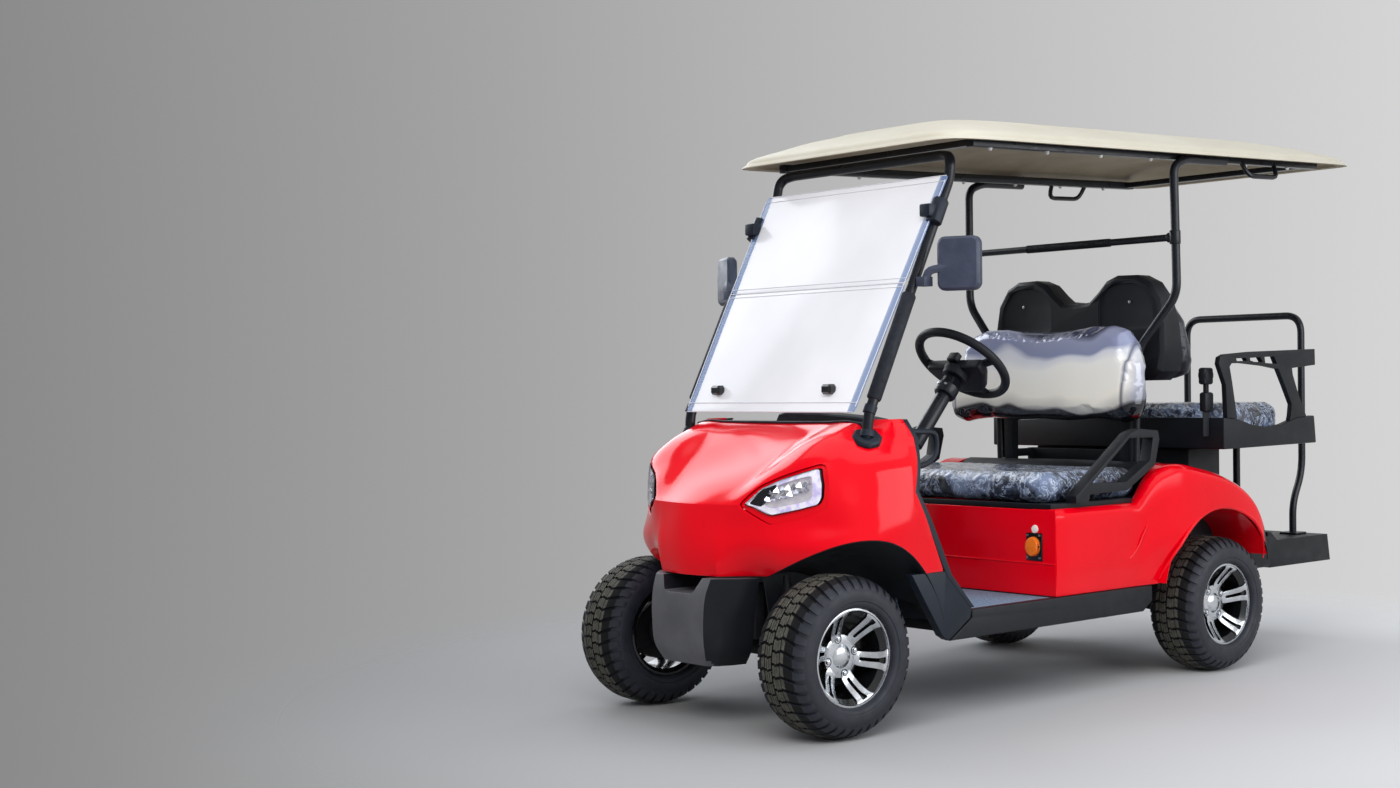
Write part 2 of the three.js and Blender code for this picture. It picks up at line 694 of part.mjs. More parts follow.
function rearHoop() {
  const half = [
    [275, 2483, stepTop + gap], [275, 2483, 520], [275, 2548, 640], [275, 2548, 1243], [0, 2548, 1243],
  ];
  const other = half.slice(0, -1).reverse().map(([x, y, z]) => [-x, y, z]);
  const feet = bothSides(box(235, 315, 2445, 2521, stepTop + gap, stepTop + 10));
  return join(tube([...half, ...other], 14, { bend: 60 }), ...feet);
}

add('rear_hoop', rearHoop(), blackTube);

const stepSide = [
  [stepFront + 12, 300], [stepRear + 18, 300], [stepRear, stepTop], [stepFront + 60, stepTop],
  [stepFront + 20, 432], [stepFront, 432],
];
const stepCorner = [[2040, 335], [2062, 305], [2172, 305], [2172, 418], [2062, 418], [2040, 400]];
function rearStep() {
  const under = box(30 - stepHalf, stepHalf - 30, stepFront - 20, stepRear - 30, 280, 370);
  const railRoom = bothSides(box(144, 196, 2100, 2181, 295, 345));
  const tread = cut(slab('side', stepSide, -stepHalf, stepHalf), under, ...railRoom);
  return join(tread, ...bothSides(slab('side', stepCorner, 292, 390, 8)));
}

add('rear_step', rearStep(), blackPlastic);

// ---------- steering ----------

const wheelCentre = new THREE.Vector3(220, 733, 1052);
const columnTilt = THREE.MathUtils.degToRad(40);
const column = new THREE.Group();
column.position.copy(wheelCentre);
column.rotation.x = -columnTilt;
cart.add(column);

function steeringWheel() {
  const rim = new THREE.TorusGeometry(152, 15, 8, 28);
  const spokes = [90, 210, 330].map((degrees) => {
    const spoke = box(20, 146, -14, 14, -26, -10);
    return spoke.rotateZ(THREE.MathUtils.degToRad(degrees));
  });
  return join(rim, ...spokes, rod([0, 0, -60], [0, 0, -4], 40, 16));
}

add('steering_wheel', steeringWheel(), blackPlastic, column);
const columnTube = join(rod([0, 0, -330], [0, 0, -68], 24, 12), rod([0, 0, -130], [0, 0, -68], 36, 12));
add('steering_column', columnTube, blackPlastic, column);

function pedals() {
  const plates = [[110, 60], [230, 50]].map(([x, wide]) => box(x, x + wide, 350, 364, 345, 440));
  const arms = [120, 250].map((x) => box(x, x + 14, 340, 372, 340, 360));
  return join(...plates, ...arms, box(100, 290, 362, 380, 330, 346));
}

add('pedals', pedals(), darkSteel);

// ---------- front axle ----------

function axleBeam() {
  const beam = box(-300, 300, -22, 22, 205, 255);
  const ears = [150, 289].map((z) => box(288, 355, -20, 20, z, z + 16));
  const fork = join(box(288, 304, -20, 20, 150, 305), ...ears);
  const shock = join(rod([238, 0, 250], [226, 0, 360], 22, 10), rod([226, 0, 355], [218, 0, 440], 14, 10));
  return join(beam, ...bothSides(fork), ...bothSides(shock));
}

add('front_axle_beam', axleBeam(), darkSteel);

function knuckle() {
  const upright = rod([kingpinX, 0, 168], [kingpinX, 0, 287], 17, 12);
  const stub = rod([kingpinX, 0, tyreRadius], [frontTrack / 2 + 8, 0, tyreRadius], 16, 12);
  const flange = rod([368, 0, tyreRadius], [380, 0, tyreRadius], 55, 20);
  const arm = box(kingpinX - 12, kingpinX + 12, 0, steeringArm + 14, tieRodZ + 14, tieRodZ + 26);
  return join(upright, stub, flange, arm);
}

addPair('knuckle', knuckle(), darkSteel);
add('tie_rod', join(rod([-kingpinX, steeringArm, tieRodZ], [kingpinX, steeringArm, tieRodZ], 9, 10),
  rod([-kingpinX, steeringArm, tieRodZ - 12], [-kingpinX, steeringArm, tieRodZ + 12], 13, 12),
  rod([kingpinX, steeringArm, tieRodZ - 12], [kingpinX, steeringArm, tieRodZ + 12], 13, 12)), darkSteel);

// ---------- rear axle ----------

function rearAxle() {
  const tubeAxle = rod([-372, wheelbase, tyreRadius], [372, wheelbase, tyreRadius], 34, 12);
  const casing = new THREE.SphereGeometry(92, 12, 8).translate(20, wheelbase, tyreRadius);
  const motor = rod([20, 1790, 250], [250, 1790, 250], 80, 20);
  const neck = box(10, 80, wheelbase, 1790, 190, 290);
  const flanges = bothSides(rod([366, wheelbase, tyreRadius], [378, wheelbase, tyreRadius], 60, 20));
  const stubs = rod([-460, wheelbase, tyreRadius], [460, wheelbase, tyreRadius], 16, 12);
  const leaves = [
    [1340, 320], [1500, 216], [1653, 178], [1810, 216], [1960, 320],
    [1960, 334], [1810, 230], [1653, 196], [1500, 230], [1340, 334],
  ];
  const springs = bothSides(slab('side', leaves, 292, 342));
  const pads = bothSides(box(296, 338, 1625, 1680, 170, 200));
  return join(tubeAxle, casing, motor, neck, ...flanges, stubs, ...springs, ...pads);
}

add('rear_axle', rearAxle(), darkSteel);

// ---------- wheels ----------

// Tyre section: distance from the middle plane, radius
const tyreSection = [
  [-80, 139], [-94, 150], [-tyreHalf, 176], [-93, 198], [-79, 213], [-50, 225.5], [-18, tyreRadius],
  [18, tyreRadius], [50, 225.5], [79, 213], [93, 198], [tyreHalf, 176], [94, 150], [80, 139],
  [74, 139], [66, 130], [-66, 130], [-74, 139],
];
const rimSection = [
  [-78, 137], [-66, 127.6], [66, 127.6], [78, 137], [82, 137],
  [82, 128], [60, 112], [-70, 118], [-82, 130], [-82, 137],
];

function turned(section, segments) {
  const profile = [...section, section[0]].map(([across, radius]) => new THREE.Vector2(radius, across));
  return new THREE.LatheGeometry(profile, segments).rotateZ(-Math.PI / 2);
}

// A spoke in side view, from the hub's face out to the lip: distance from the middle plane, radius
const spokeSide = [[12, 40], [26, 40], [28, 62], [50, 98], [79, 122], [60, 122], [34, 98]];
const spokePairs = 6;
function rim(firstPair) {
  const barrel = turned(rimSection, 24);
  const hub = rod([12, 0, 0], [26, 0, 0], 60, 16);
  const spokes = [];
  for (let i = 0; i < spokePairs; i += 1) {
    for (const side of [-1, 1]) {
      const spoke = slab('front', spokeSide, side * 14 - 8, side * 14 + 8);
      spokes.push(spoke.rotateX(THREE.MathUtils.degToRad(firstPair - 90 + (360 * i) / spokePairs)));
    }
  }
  return join(barrel, hub, ...spokes, rod([26, 0, 0], [38, 0, 0], 33, 16, 20));
}

function tyre() {
  return turned(tyreSection, 36);
}

// Which wheel, its place, and the angle of its first pair of spokes over the rearward direction
const wheelPlaces = [
  ['front', frontTrack / 2, 0, -9],
  ['rear', rearTrack / 2, wheelbase, 14],
];
for (const [end, x, y, firstPair] of wheelPlaces) {
  for (const [side, sign] of [['left', 1], ['right', -1]]) {
    const wheel = new THREE.Group();
    wheel.position.set(sign * x, y, tyreRadius);
    wheel.scale.x = sign;
    cart.add(wheel);
    add(`rim_${end}_${side}`, rim(firstPair), rimAlloy, wheel);
    add(`tyre_${end}_${side}`, tyre(), tyreRubber, wheel);
  }
}

export default cart;
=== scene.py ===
import math
import random

import bpy
from mathutils import Matrix, Vector, noise


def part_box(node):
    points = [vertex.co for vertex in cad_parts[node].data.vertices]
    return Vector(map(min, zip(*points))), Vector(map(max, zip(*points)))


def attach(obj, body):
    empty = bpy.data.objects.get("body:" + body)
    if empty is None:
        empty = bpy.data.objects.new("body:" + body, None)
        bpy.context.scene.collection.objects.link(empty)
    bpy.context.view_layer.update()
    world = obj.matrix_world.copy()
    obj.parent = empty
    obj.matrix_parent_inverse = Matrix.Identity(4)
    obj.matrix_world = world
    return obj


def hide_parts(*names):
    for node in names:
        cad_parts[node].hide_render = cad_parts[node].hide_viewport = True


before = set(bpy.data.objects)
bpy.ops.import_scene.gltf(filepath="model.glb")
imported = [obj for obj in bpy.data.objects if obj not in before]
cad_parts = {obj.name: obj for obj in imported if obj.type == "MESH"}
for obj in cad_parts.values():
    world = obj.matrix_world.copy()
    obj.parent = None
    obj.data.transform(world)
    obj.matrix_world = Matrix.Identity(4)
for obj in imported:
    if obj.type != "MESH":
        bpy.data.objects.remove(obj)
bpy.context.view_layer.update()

frontAxle = 1174.25  # the front axle stands this far before the middle of the cart


def at(x, y, z):  # millimetres from the front axle and the ground, to metres in the frame
    return Vector((x / 1000, (y - frontAxle) / 1000, z / 1000))


# Small tools for modelling

def clearSelection():
    if bpy.context.object and bpy.context.object.mode != "OBJECT":
        bpy.ops.object.mode_set(mode="OBJECT")
    bpy.ops.object.select_all(action="DESELECT")


def pick(piece):
    clearSelection()
    piece.select_set(True)
    bpy.context.view_layer.objects.active = piece


def named(name):
    piece = bpy.context.object
    piece.name = name
    piece.data.name = name
    return piece


def applyModifier(piece, kind, **settings):
    pick(piece)
    modifier = piece.modifiers.new(kind.title(), kind)
    for key, value in settings.items():
        setattr(modifier, key, value)
    bpy.ops.object.modifier_apply(modifier=modifier.name)


def applyPlace(piece):
    pick(piece)
    bpy.ops.object.transform_apply(location=True, rotation=True, scale=True)


def mergeAndFaceOut(piece, distance=0.00002):
    pick(piece)
    bpy.ops.object.mode_set(mode="EDIT")
    bpy.ops.mesh.select_all(action="SELECT")
    bpy.ops.mesh.remove_doubles(threshold=distance)
    bpy.ops.mesh.normals_make_consistent(inside=False)
    bpy.ops.object.mode_set(mode="OBJECT")


def trimmed(piece, *planes):  # cuts off what lies past each plane: a place in mm, and the way it faces
    pick(piece)
    bpy.ops.object.mode_set(mode="EDIT")
    for place, facing in planes:
        bpy.ops.mesh.select_all(action="SELECT")
        bpy.ops.mesh.bisect(plane_co=at(*place), plane_no=facing, clear_outer=True)
    bpy.ops.object.mode_set(mode="OBJECT")
    return piece


def cutAway(piece, *cutters, keep=False):
    for cutter in cutters:
        how = "INTERSECT" if keep else "DIFFERENCE"
        applyModifier(piece, "BOOLEAN", operation=how, object=cutter, solver="EXACT")
        bpy.data.objects.remove(cutter)
    return piece


def joined(name, pieces):
    clearSelection()
    for piece in pieces:
        piece.select_set(True)
    bpy.context.view_layer.objects.active = pieces[0]
    if len(pieces) > 1:
        bpy.ops.object.join()
    return named(name)


def copyOf(piece, name=None):
    twin = piece.copy()
    twin.data = piece.data.copy()
    bpy.context.scene.collection.objects.link(twin)
    if name:
        twin.name = name
        twin.data.name = name
    return twin


def moveMesh(piece, matrix):
    piece.data.transform(matrix)
    if matrix.determinant() < 0:
        piece.data.flip_normals()
    piece.data.update()
    return piece


def mirrored(piece, name=None):
    return moveMesh(copyOf(piece, name), Matrix.Scale(-1, 4, (1, 0, 0)))


def smooth(piece, angle=35):
    pick(piece)
    bpy.ops.object.shade_smooth_by_angle(angle=math.radians(angle))
    return piece


def done(piece, body, material, instead=(), angle=35):
    smooth(piece, angle)
    if material:
        piece.data.materials.clear()
        piece.data.materials.append(material)
    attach(piece, body)
    if instead:
        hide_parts(*([instead] if isinstance(instead, str) else instead))
    return piece


def both(piece, body, material, instead=(), angle=35):  # finishes a left piece and its mirrored twin
    twin = mirrored(piece, piece.name[:-5] + "_right")
    done(piece, body, material, instead, angle)
    done(twin, body, material, [node.replace("_left", "_right") for node in instead], angle)


def paintFaces(piece, material, chosen):  # one more finish, on the faces that pass the test
    piece.data.materials.append(material)
    for face in piece.data.polygons:
        if chosen(face):
            face.material_index = len(piece.data.materials) - 1


def curved(points, sharp=(), steps=6):  # a smooth line through the points, broken at the sharp ones
    count = len(points)
    line = []
    for i in range(count - 1):
        here, there = Vector(points[i]), Vector(points[i + 1])
        reach = max((there - here).length, 1e-9)

        def slope(k):
            before, middle, after = Vector(points[k - 1]), Vector(points[k]), Vector(points[k + 1])
            first = max((middle - before).length, 1e-9)
            second = max((after - middle).length, 1e-9)
            return ((middle - before) / first * second + (after - middle) / second * first) / (first + second)

        run = there - here
        startSlope = run / reach if i == 0 or i in sharp else slope(i)
        endSlope = run / reach if i == count - 2 or i + 1 in sharp else slope(i + 1)
        for k in range(steps):
            t = k / steps
            line.append(here * (2 * t ** 3 - 3 * t ** 2 + 1) + startSlope * reach * (t ** 3 - 2 * t ** 2 + t)
                        + there * (3 * t ** 2 - 2 * t ** 3) + endSlope * reach * (t ** 3 - t ** 2))
    line.append(Vector(points[-1]))
    return line


def skin(name, rows, closed=False):  # a grid primitive whose corners are set row by row
    clearSelection()
    bpy.ops.mesh.primitive_grid_add(x_subdivisions=len(rows[0]) - 1, y_subdivisions=len(rows) - 1, size=1)
    piece = named(name)
    flat = [value for row in rows for corner in row for value in corner]
    piece.data.vertices.foreach_set("co", flat)
    piece.data.update()
    if closed:
        mergeAndFaceOut(piece)
    return piece


def smoothSkin(name, table, sharpAcross=(), sharpAlong=(), stepsAcross=5, stepsAlong=5):
    rows = [curved(row, sharpAcross, stepsAcross) for row in table]
    columns = [curved(list(column), sharpAlong, stepsAlong) for column in zip(*rows)]
    return skin(name, [list(row) for row in zip(*columns)])


def capEnds(piece):  # closes the open borders of a tube-like skin
    pick(piece)
    bpy.ops.object.mode_set(mode="EDIT")
    bpy.ops.mesh.select_all(action="DESELECT")
    bpy.ops.mesh.select_mode(type="EDGE")
    bpy.ops.mesh.select_non_manifold()
    bpy.ops.mesh.edge_face_add()
    bpy.ops.mesh.select_all(action="SELECT")
    bpy.ops.mesh.normals_make_consistent(inside=False)
    bpy.ops.mesh.select_mode(type="VERT")
    bpy.ops.object.mode_set(mode="OBJECT")
    return piece


turns = {
    "side": Matrix(((0, 0, 1, 0), (1, 0, 0, 0), (0, 1, 0, 0), (0, 0, 0, 1))),
    "plan": Matrix.Identity(4),
    "front": Matrix(((1, 0, 0, 0), (0, 0, 1, 0), (0, 1, 0, 0), (0, 0, 0, 1))),
}


def curveMesh(name, curve):
    piece = bpy.data.objects.new(name, curve)
    bpy.context.scene.collection.objects.link(piece)
    pick(piece)
    bpy.ops.object.convert(target="MESH")
    return named(name)


def plate(name, plane, outlines, low, high, bevel=0.0, segments=3):
    # Filled outlines in mm, pushed from low to high along the third axis, with rounded edges
    curve = bpy.data.curves.new(name, "CURVE")
    curve.dimensions = "2D"
    curve.fill_mode = "BOTH"
    curve.extrude = (high - low) / 2000 - bevel / 1000
    curve.bevel_depth = bevel / 1000
    curve.bevel_resolution = segments - 1
    curve.offset = -bevel / 1000
    shift = {"side": (frontAxle, 0), "plan": (0, frontAxle), "front": (0, 0)}[plane]
    for outline in outlines:
        spline = curve.splines.new("POLY")
        spline.points.add(len(outline) - 1)
        for point, (a, b) in zip(spline.points, outline):
            point.co = ((a - shift[0]) / 1000, (b - shift[1]) / 1000, 0, 1)
        spline.use_cyclic_u = True
    piece = curveMesh(name, curve)
    middle = (high + low) / 2000 - (frontAxle / 1000 if plane == "front" else 0)
    moveMesh(piece, turns[plane] @ Matrix.Translation((0, 0, middle)))
    mergeAndFaceOut(piece)
    return piece


def roundedCorners(points, radius, steps=5):  # rounds every corner of a closed outline
    line = []
    count = len(points)
    for i in range(count):
        corner = Vector(points[i])
        before = Vector(points[i - 1]) - corner
        after = Vector(points[(i + 1) % count]) - corner
        reach = min(radius, before.length * 0.48, after.length * 0.48)
        first, last = corner + before.normalized() * reach, corner + after.normalized() * reach
        for k in range(steps + 1):
            t = k / steps
            line.append(tuple(first * (1 - t) ** 2 + corner * 2 * t * (1 - t) + last * t ** 2))
    return line


def rectangle(a0, a1, b0, b1, radius):
    return roundedCorners([(a0, b0), (a1, b0), (a1, b1), (a0, b1)], radius)


def evenOutline(half):  # carries half an outline over to the other side of its middle line
    return half + [(-a, b) for a, b in half[::-1]]


def block(name, x0, x1, y0, y1, z0, z1, bevel=2.0, segments=2):
    clearSelection()
    bpy.ops.mesh.primitive_cube_add(size=1)
    piece = named(name)
    low, high = at(x0, y0, z0), at(x1, y1, z1)
    size = high - low
    moveMesh(piece, Matrix.Translation((low + high) / 2) @ Matrix.Diagonal((*size, 1)))
    if bevel:
        applyModifier(piece, "BEVEL", width=bevel / 1000, segments=segments, limit_method="ANGLE")
    return piece


def bentLine(corners, bend, steps=8):  # a path through corners with rounded bends
    line = [Vector(corners[0])]
    for i in range(1, len(corners) - 1):
        corner = Vector(corners[i])
        before, after = Vector(corners[i - 1]) - corner, Vector(corners[i + 1]) - corner
        reach = min(bend, before.length * 0.45, after.length * 0.45)
        first, last = corner + before.normalized() * reach, corner + after.normalized() * reach
        for k in range(steps + 1):
            t = k / steps
            line.append(first * (1 - t) ** 2 + corner * 2 * t * (1 - t) + last * t ** 2)
    line.append(Vector(corners[-1]))
    return line


def tube(name, line, radius, sides=5, taper=None):
    # A round bar along a line in mm; taper gives the share of the radius at each point
    curve = bpy.data.curves.new(name, "CURVE")
    curve.dimensions = "3D"
    curve.bevel_depth = radius / 1000
    curve.bevel_resolution = sides - 2
    curve.use_fill_caps = True
    spline = curve.splines.new("POLY")
    spline.points.add(len(line) - 1)
    for i, (point, place) in enumerate(zip(spline.points, line)):
        point.co = (*at(*place), 1)
        if taper:
            point.radius = taper[i]
    piece = curveMesh(name, curve)
    mergeAndFaceOut(piece)
    return piece


def rod(name, start, end, radius, endRadius=None, sides=32, bevel=0.0):
    # A turned bar or cone between two places in mm
    first, last = at(*start), at(*end)
    along = last - first
    clearSelection()
    bpy.ops.mesh.primitive_cone_add(vertices=sides, radius1=radius / 1000, depth=along.length,
                                    radius2=(radius if endRadius is None else endRadius) / 1000)
    piece = named(name)
    turn = along.to_track_quat("Z", "Y").to_matrix().to_4x4()
    moveMesh(piece, Matrix.Translation((first + last) / 2) @ turn)
    if bevel:
        applyModifier(piece, "BEVEL", width=bevel / 1000, segments=2, limit_method="ANGLE")
    return piece


def turned(name, profile, steps=64):
    # Spins a profile of (distance along X, radius) in mm round the X axis
    curve = bpy.data.curves.new(name, "CURVE")
    curve.dimensions = "3D"
    spline = curve.splines.new("POLY")
    spline.points.add(len(profile) - 1)
    for point, (out, radius) in zip(spline.points, profile):
        point.co = (out / 1000, 0, radius / 1000, 1)
    piece = curveMesh(name, curve)
    pick(piece)
    bpy.ops.object.mode_set(mode="EDIT")
    bpy.ops.mesh.select_all(action="SELECT")
    bpy.ops.mesh.spin(steps=steps, angle=2 * math.pi, center=(0, 0, 0), axis=(1, 0, 0))
    bpy.ops.mesh.select_all(action="SELECT")
    bpy.ops.mesh.remove_doubles(threshold=0.00001)
    bpy.ops.mesh.normals_make_consistent(inside=False)
    bpy.ops.object.mode_set(mode="OBJECT")
    return piece


def shapedNode(name, bevel, segments=2, angle=30):
    # A merged copy of the CAD node with its edges rounded
    piece = copyOf(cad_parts[name], name + "_shaped")
    piece.parent = None
    for key in list(piece.keys()):
        if key.startswith("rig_"):
            del piece[key]
    piece.hide_render = False
    mergeAndFaceOut(piece)
    pick(piece)
    bpy.ops.object.mode_set(mode="EDIT")
    bpy.ops.mesh.select_all(action="SELECT")
    bpy.ops.mesh.dissolve_limited(angle_limit=math.radians(1))
    bpy.ops.object.mode_set(mode="OBJECT")
    applyModifier(piece, "BEVEL", width=bevel / 1000, segments=segments, limit_method="ANGLE",
                  angle_limit=math.radians(angle), miter_outer="MITER_ARC")
    return piece


print("tools ready")

# Materials

def linear(colour):
    channels = [int(colour[i:i + 2], 16) / 255 for i in (1, 3, 5)]
    return [c / 12.92 if c <= 0.04045 else ((c + 0.055) / 1.055) ** 2.4 for c in channels] + [1.0]


def addNode(tree, kind, settings=None, links=None, stops=None):
    # A node with its settings by name or socket, its links in, and a ramp's colour stops from low to high
    node = tree.nodes.new(kind)
    for key, value in (settings or {}).items():
        if isinstance(key, str) and hasattr(node, key):
            setattr(node, key, value)
        else:
            node.inputs[key].default_value = value
    for socket, source in (links or {}).items():
        tree.links.new(source, node.inputs[socket])
    if stops:
        marks = node.color_ramp.elements
        marks[0].position, marks[0].color = stops[0][0], linear(stops[0][1])
        marks[1].position, marks[1].color = stops[-1][0], linear(stops[-1][1])
        for position, colour in stops[1:-1]:
            marks.new(position).color = linear(colour)
    return node


def newMaterial(name, **sockets):
    material = bpy.data.materials.new(name)
    material.use_nodes = True
    shader = material.node_tree.nodes["Principled BSDF"]
    for socket, value in sockets.items():
        shader.inputs[socket.replace("_", " ")].default_value = value
    return material, material.node_tree, shader


def patterned(name, light, dark, patch, rough, grain, height, metallic=0.0, kind="noise", **sockets):
    # Two close colours in patches (mm), a roughness range, and a fine grain (mm) of some height (mm)
    material, tree, shader = newMaterial(name, Metallic=metallic, **sockets)
    place = addNode(tree, "ShaderNodeTexCoord").outputs["Object"]
    clouds = addNode(tree, "ShaderNodeTexNoise", {"Scale": 1000 / patch, "Detail": 5.0, "Roughness": 0.6},
                     {"Vector": place})
    colours = addNode(tree, "ShaderNodeValToRGB", links={"Fac": clouds.outputs["Fac"]},
                      stops=[(0.35, dark), (0.65, light)])
    tree.links.new(colours.outputs["Color"], shader.inputs["Base Color"])
    wear = addNode(tree, "ShaderNodeTexNoise", {"Scale": 1000 / patch * 1.7, "Detail": 6.0},
                   {"Vector": place})
    spread = addNode(tree, "ShaderNodeMapRange", {"From Min": 0.3, "From Max": 0.7, "To Min": rough[0],
                                                  "To Max": rough[1]}, {"Value": wear.outputs["Fac"]})
    tree.links.new(spread.outputs["Result"], shader.inputs["Roughness"])
    if kind == "leather":
        cells = addNode(tree, "ShaderNodeTexVoronoi", {"Scale": 1000 / grain, "feature": "DISTANCE_TO_EDGE"},
                        {"Vector": place})
        relief = cells.outputs["Distance"]
    else:
        specks = addNode(tree, "ShaderNodeTexNoise", {"Scale": 1000 / grain, "Detail": 3.0},
                         {"Vector": place})
        relief = specks.outputs["Fac"]
    bump = addNode(tree, "ShaderNodeBump", {"Strength": 0.6, "Distance": height / 1000}, {"Height": relief})
    tree.links.new(bump.outputs["Normal"], shader.inputs["Normal"])
    return material


# Injection-moulded ABS in signal red: hard gloss, the faintest long waves in what it mirrors
glossRed = patterned("glossRedAbs", "#ea0018", "#e20016", 300, (0.10, 0.16), 60, 0.1, Specular_IOR_Level=0.26)
# Rotomoulded polyethylene roof in ivory: satin, slightly mottled
ivoryRoof = patterned("ivoryPolyethylene", "#cdc7b6", "#c6bfac", 250, (0.42, 0.55), 3, 0.03)
# The same roof's underside, painted a darker tan than the top as painted shade, with a fine grain
tanUndersidePaintedShade = patterned("tanRoofLiner", "#a8997f", "#998a70", 200, (0.55, 0.7), 2.5, 0.06)
# Powder-coated steel tube: near-black with a blue cast, fine orange peel and soft highlights
blackTube = patterned("blackPowderCoat", "#12151c", "#0d1016", 60, (0.26, 0.38), 3, 0.02,
                      Specular_IOR_Level=0.4)
# Textured black polypropylene: dull, pebble grain that breaks up the highlight
blackGrain = patterned("grainedBlackPolypropylene", "#12151b", "#0d1014", 90, (0.42, 0.58), 2.2, 0.12,
                       Specular_IOR_Level=0.35)
# The same plastic in a bluer black, on the strips and dash round the nose: the blue is painted reflection of
# the sky
blackWithPaintedSkySheen = patterned("blueBlackPolypropylene", "#18202c", "#121923", 70, (0.4, 0.55), 2.0, 0.1,
                      Specular_IOR_Level=0.38)
# Satin moulding of the bumper, charcoal on the faces towards the front: partly dust, partly painted light
# from the front; greyer where the grain is rubbed
charcoalDustAndPaintedLight = patterned("charcoalPolypropylene", "#57575b", "#49494e", 120, (0.4, 0.52), 2.5, 0.07)
# Chassis steel under a thin dark paint: slightly uneven, dusty in patches
chassisSteel = patterned("paintedChassisSteel", "#1c1d20", "#131416", 70, (0.45, 0.65), 6, 0.08, metallic=0.3)
# Tyre rubber: blue-black sidewall with a faint sheen, fine pores
tyreRubber = patterned("tyreRubber", "#24262f", "#1c1e26", 50, (0.5, 0.66), 1.8, 0.08)
# Tread rubber where it meets the road: dry, dusty brown-grey over black
treadRubber = patterned("dustyTread", "#57554d", "#3e3d38", 14, (0.75, 0.95), 2.4, 0.25)
# Machined aluminium under clear lacquer: bright, fine turning marks
brightAlloy = patterned("machinedAluminium", "#d9dce0", "#c6c9ce", 40, (0.2, 0.3), 1.5, 0.01, metallic=1.0)
# Gloss black enamel in the pockets of the wheels
blackEnamel = patterned("blackWheelEnamel", "#101114", "#0b0c0e", 60, (0.18, 0.28), 5, 0.02, Coat_Weight=0.3)
# Bright chromed plastic in the lamps
chrome = patterned("chromedPlastic", "#e6e8ec", "#d6d9de", 30, (0.04, 0.09), 8, 0.01, metallic=1.0)
# Zinc-plated fasteners
zinc = patterned("zincPlatedSteel", "#c9ccd0", "#aeb2b7", 8, (0.25, 0.4), 1, 0.02, metallic=1.0)
# Foam grip sleeve: closed-cell, matt black-blue
foam = patterned("blackFoamSleeve", "#191d27", "#12151c", 20, (0.6, 0.8), 2.0, 0.25)
# Ribbed rubber floor mat, grey-blue with a speckle of trodden dust
matGrey = patterned("greyRubberMat", "#8397ad", "#45566a", 7, (0.8, 0.95), 3.0, 0.35)
# Moulded orange nylon cap of the charging socket
orangeCap = patterned("orangeNylonCap", "#f07a1c", "#e26a12", 12, (0.35, 0.5), 2.0, 0.03)
# Warm white plastic of the button and the bolt caps: satin and even
paleButton = patterned("palePlastic", "#ece9e2", "#e0ddd5", 20, (0.35, 0.45), 3.0, 0.02)
# Woven polyester webbing of the belts
webbing = patterned("blackBeltWebbing", "#1f2127", "#14161a", 3, (0.7, 0.85), 1.4, 0.2)
# Dark vinyl upholstery: pressed leather grain with a soft sheen
darkVinyl = patterned("darkVinyl", "#24252e", "#1b1c24", 80, (0.3, 0.42), 3.5, 0.1, kind="leather",
                      Sheen_Weight=0.05)
# Slate-blue mirror housings, satin: dark plastic, its blue painted reflection of the sky
slateWithPaintedSkySheen = patterned("slateMirrorShell", "#3f4557", "#353a4a", 60, (0.35, 0.48), 2.0, 0.05)
# Pearl-white reflector bowl of the lamps
pearl = patterned("pearlReflector", "#e9e4e2", "#d5cfd0", 18, (0.12, 0.25), 9, 0.2)
# Black at the bottom of the tread grooves
grooveBlack = patterned("treadGroove", "#0d0d0f", "#090a0c", 20, (0.8, 0.95), 3, 0.1)
# Black border printed on the lamps: hard and glossy
blackBorder = patterned("blackLampBorder", "#0c0d10", "#08090b", 40, (0.1, 0.18), 6, 0.01)
print("materials ready")

# Camera: a long normal lens at chest height, off the front left corner

view = {"place": (4175.7, -3280.3, 973.7), "azimuth": 44.591, "elevation": 0.7375, "roll": -0.586,
        "lens": 45.70, "shiftX": -0.18754, "shiftY": 0.01224}
cameraData = bpy.data.cameras.new("camera")
camera = bpy.data.objects.new("camera", cameraData)
bpy.context.scene.collection.objects.link(camera)
azimuth, elevation = math.radians(view["azimuth"]), math.radians(view["elevation"])
back = Vector((math.sin(azimuth) * math.cos(elevation), -math.cos(azimuth) * math.cos(elevation),
               math.sin(elevation)))
turn = back.to_track_quat("Z", "Y").to_matrix()
roll = Matrix.Rotation(math.radians(view["roll"]), 3, "Z")
camera.matrix_world = Matrix.Translation(at(*view["place"])) @ (turn @ roll).to_4x4()
cameraData.sensor_width = 36
cameraData.lens = view["lens"]
cameraData.shift_x, cameraData.shift_y = view["shiftX"], view["shiftY"]
cameraData.clip_start, cameraData.clip_end = 0.05, 200
bpy.context.scene.camera = camera

# Studio: soft boxes over and beside the cart, a pale floor that fades into the backdrop

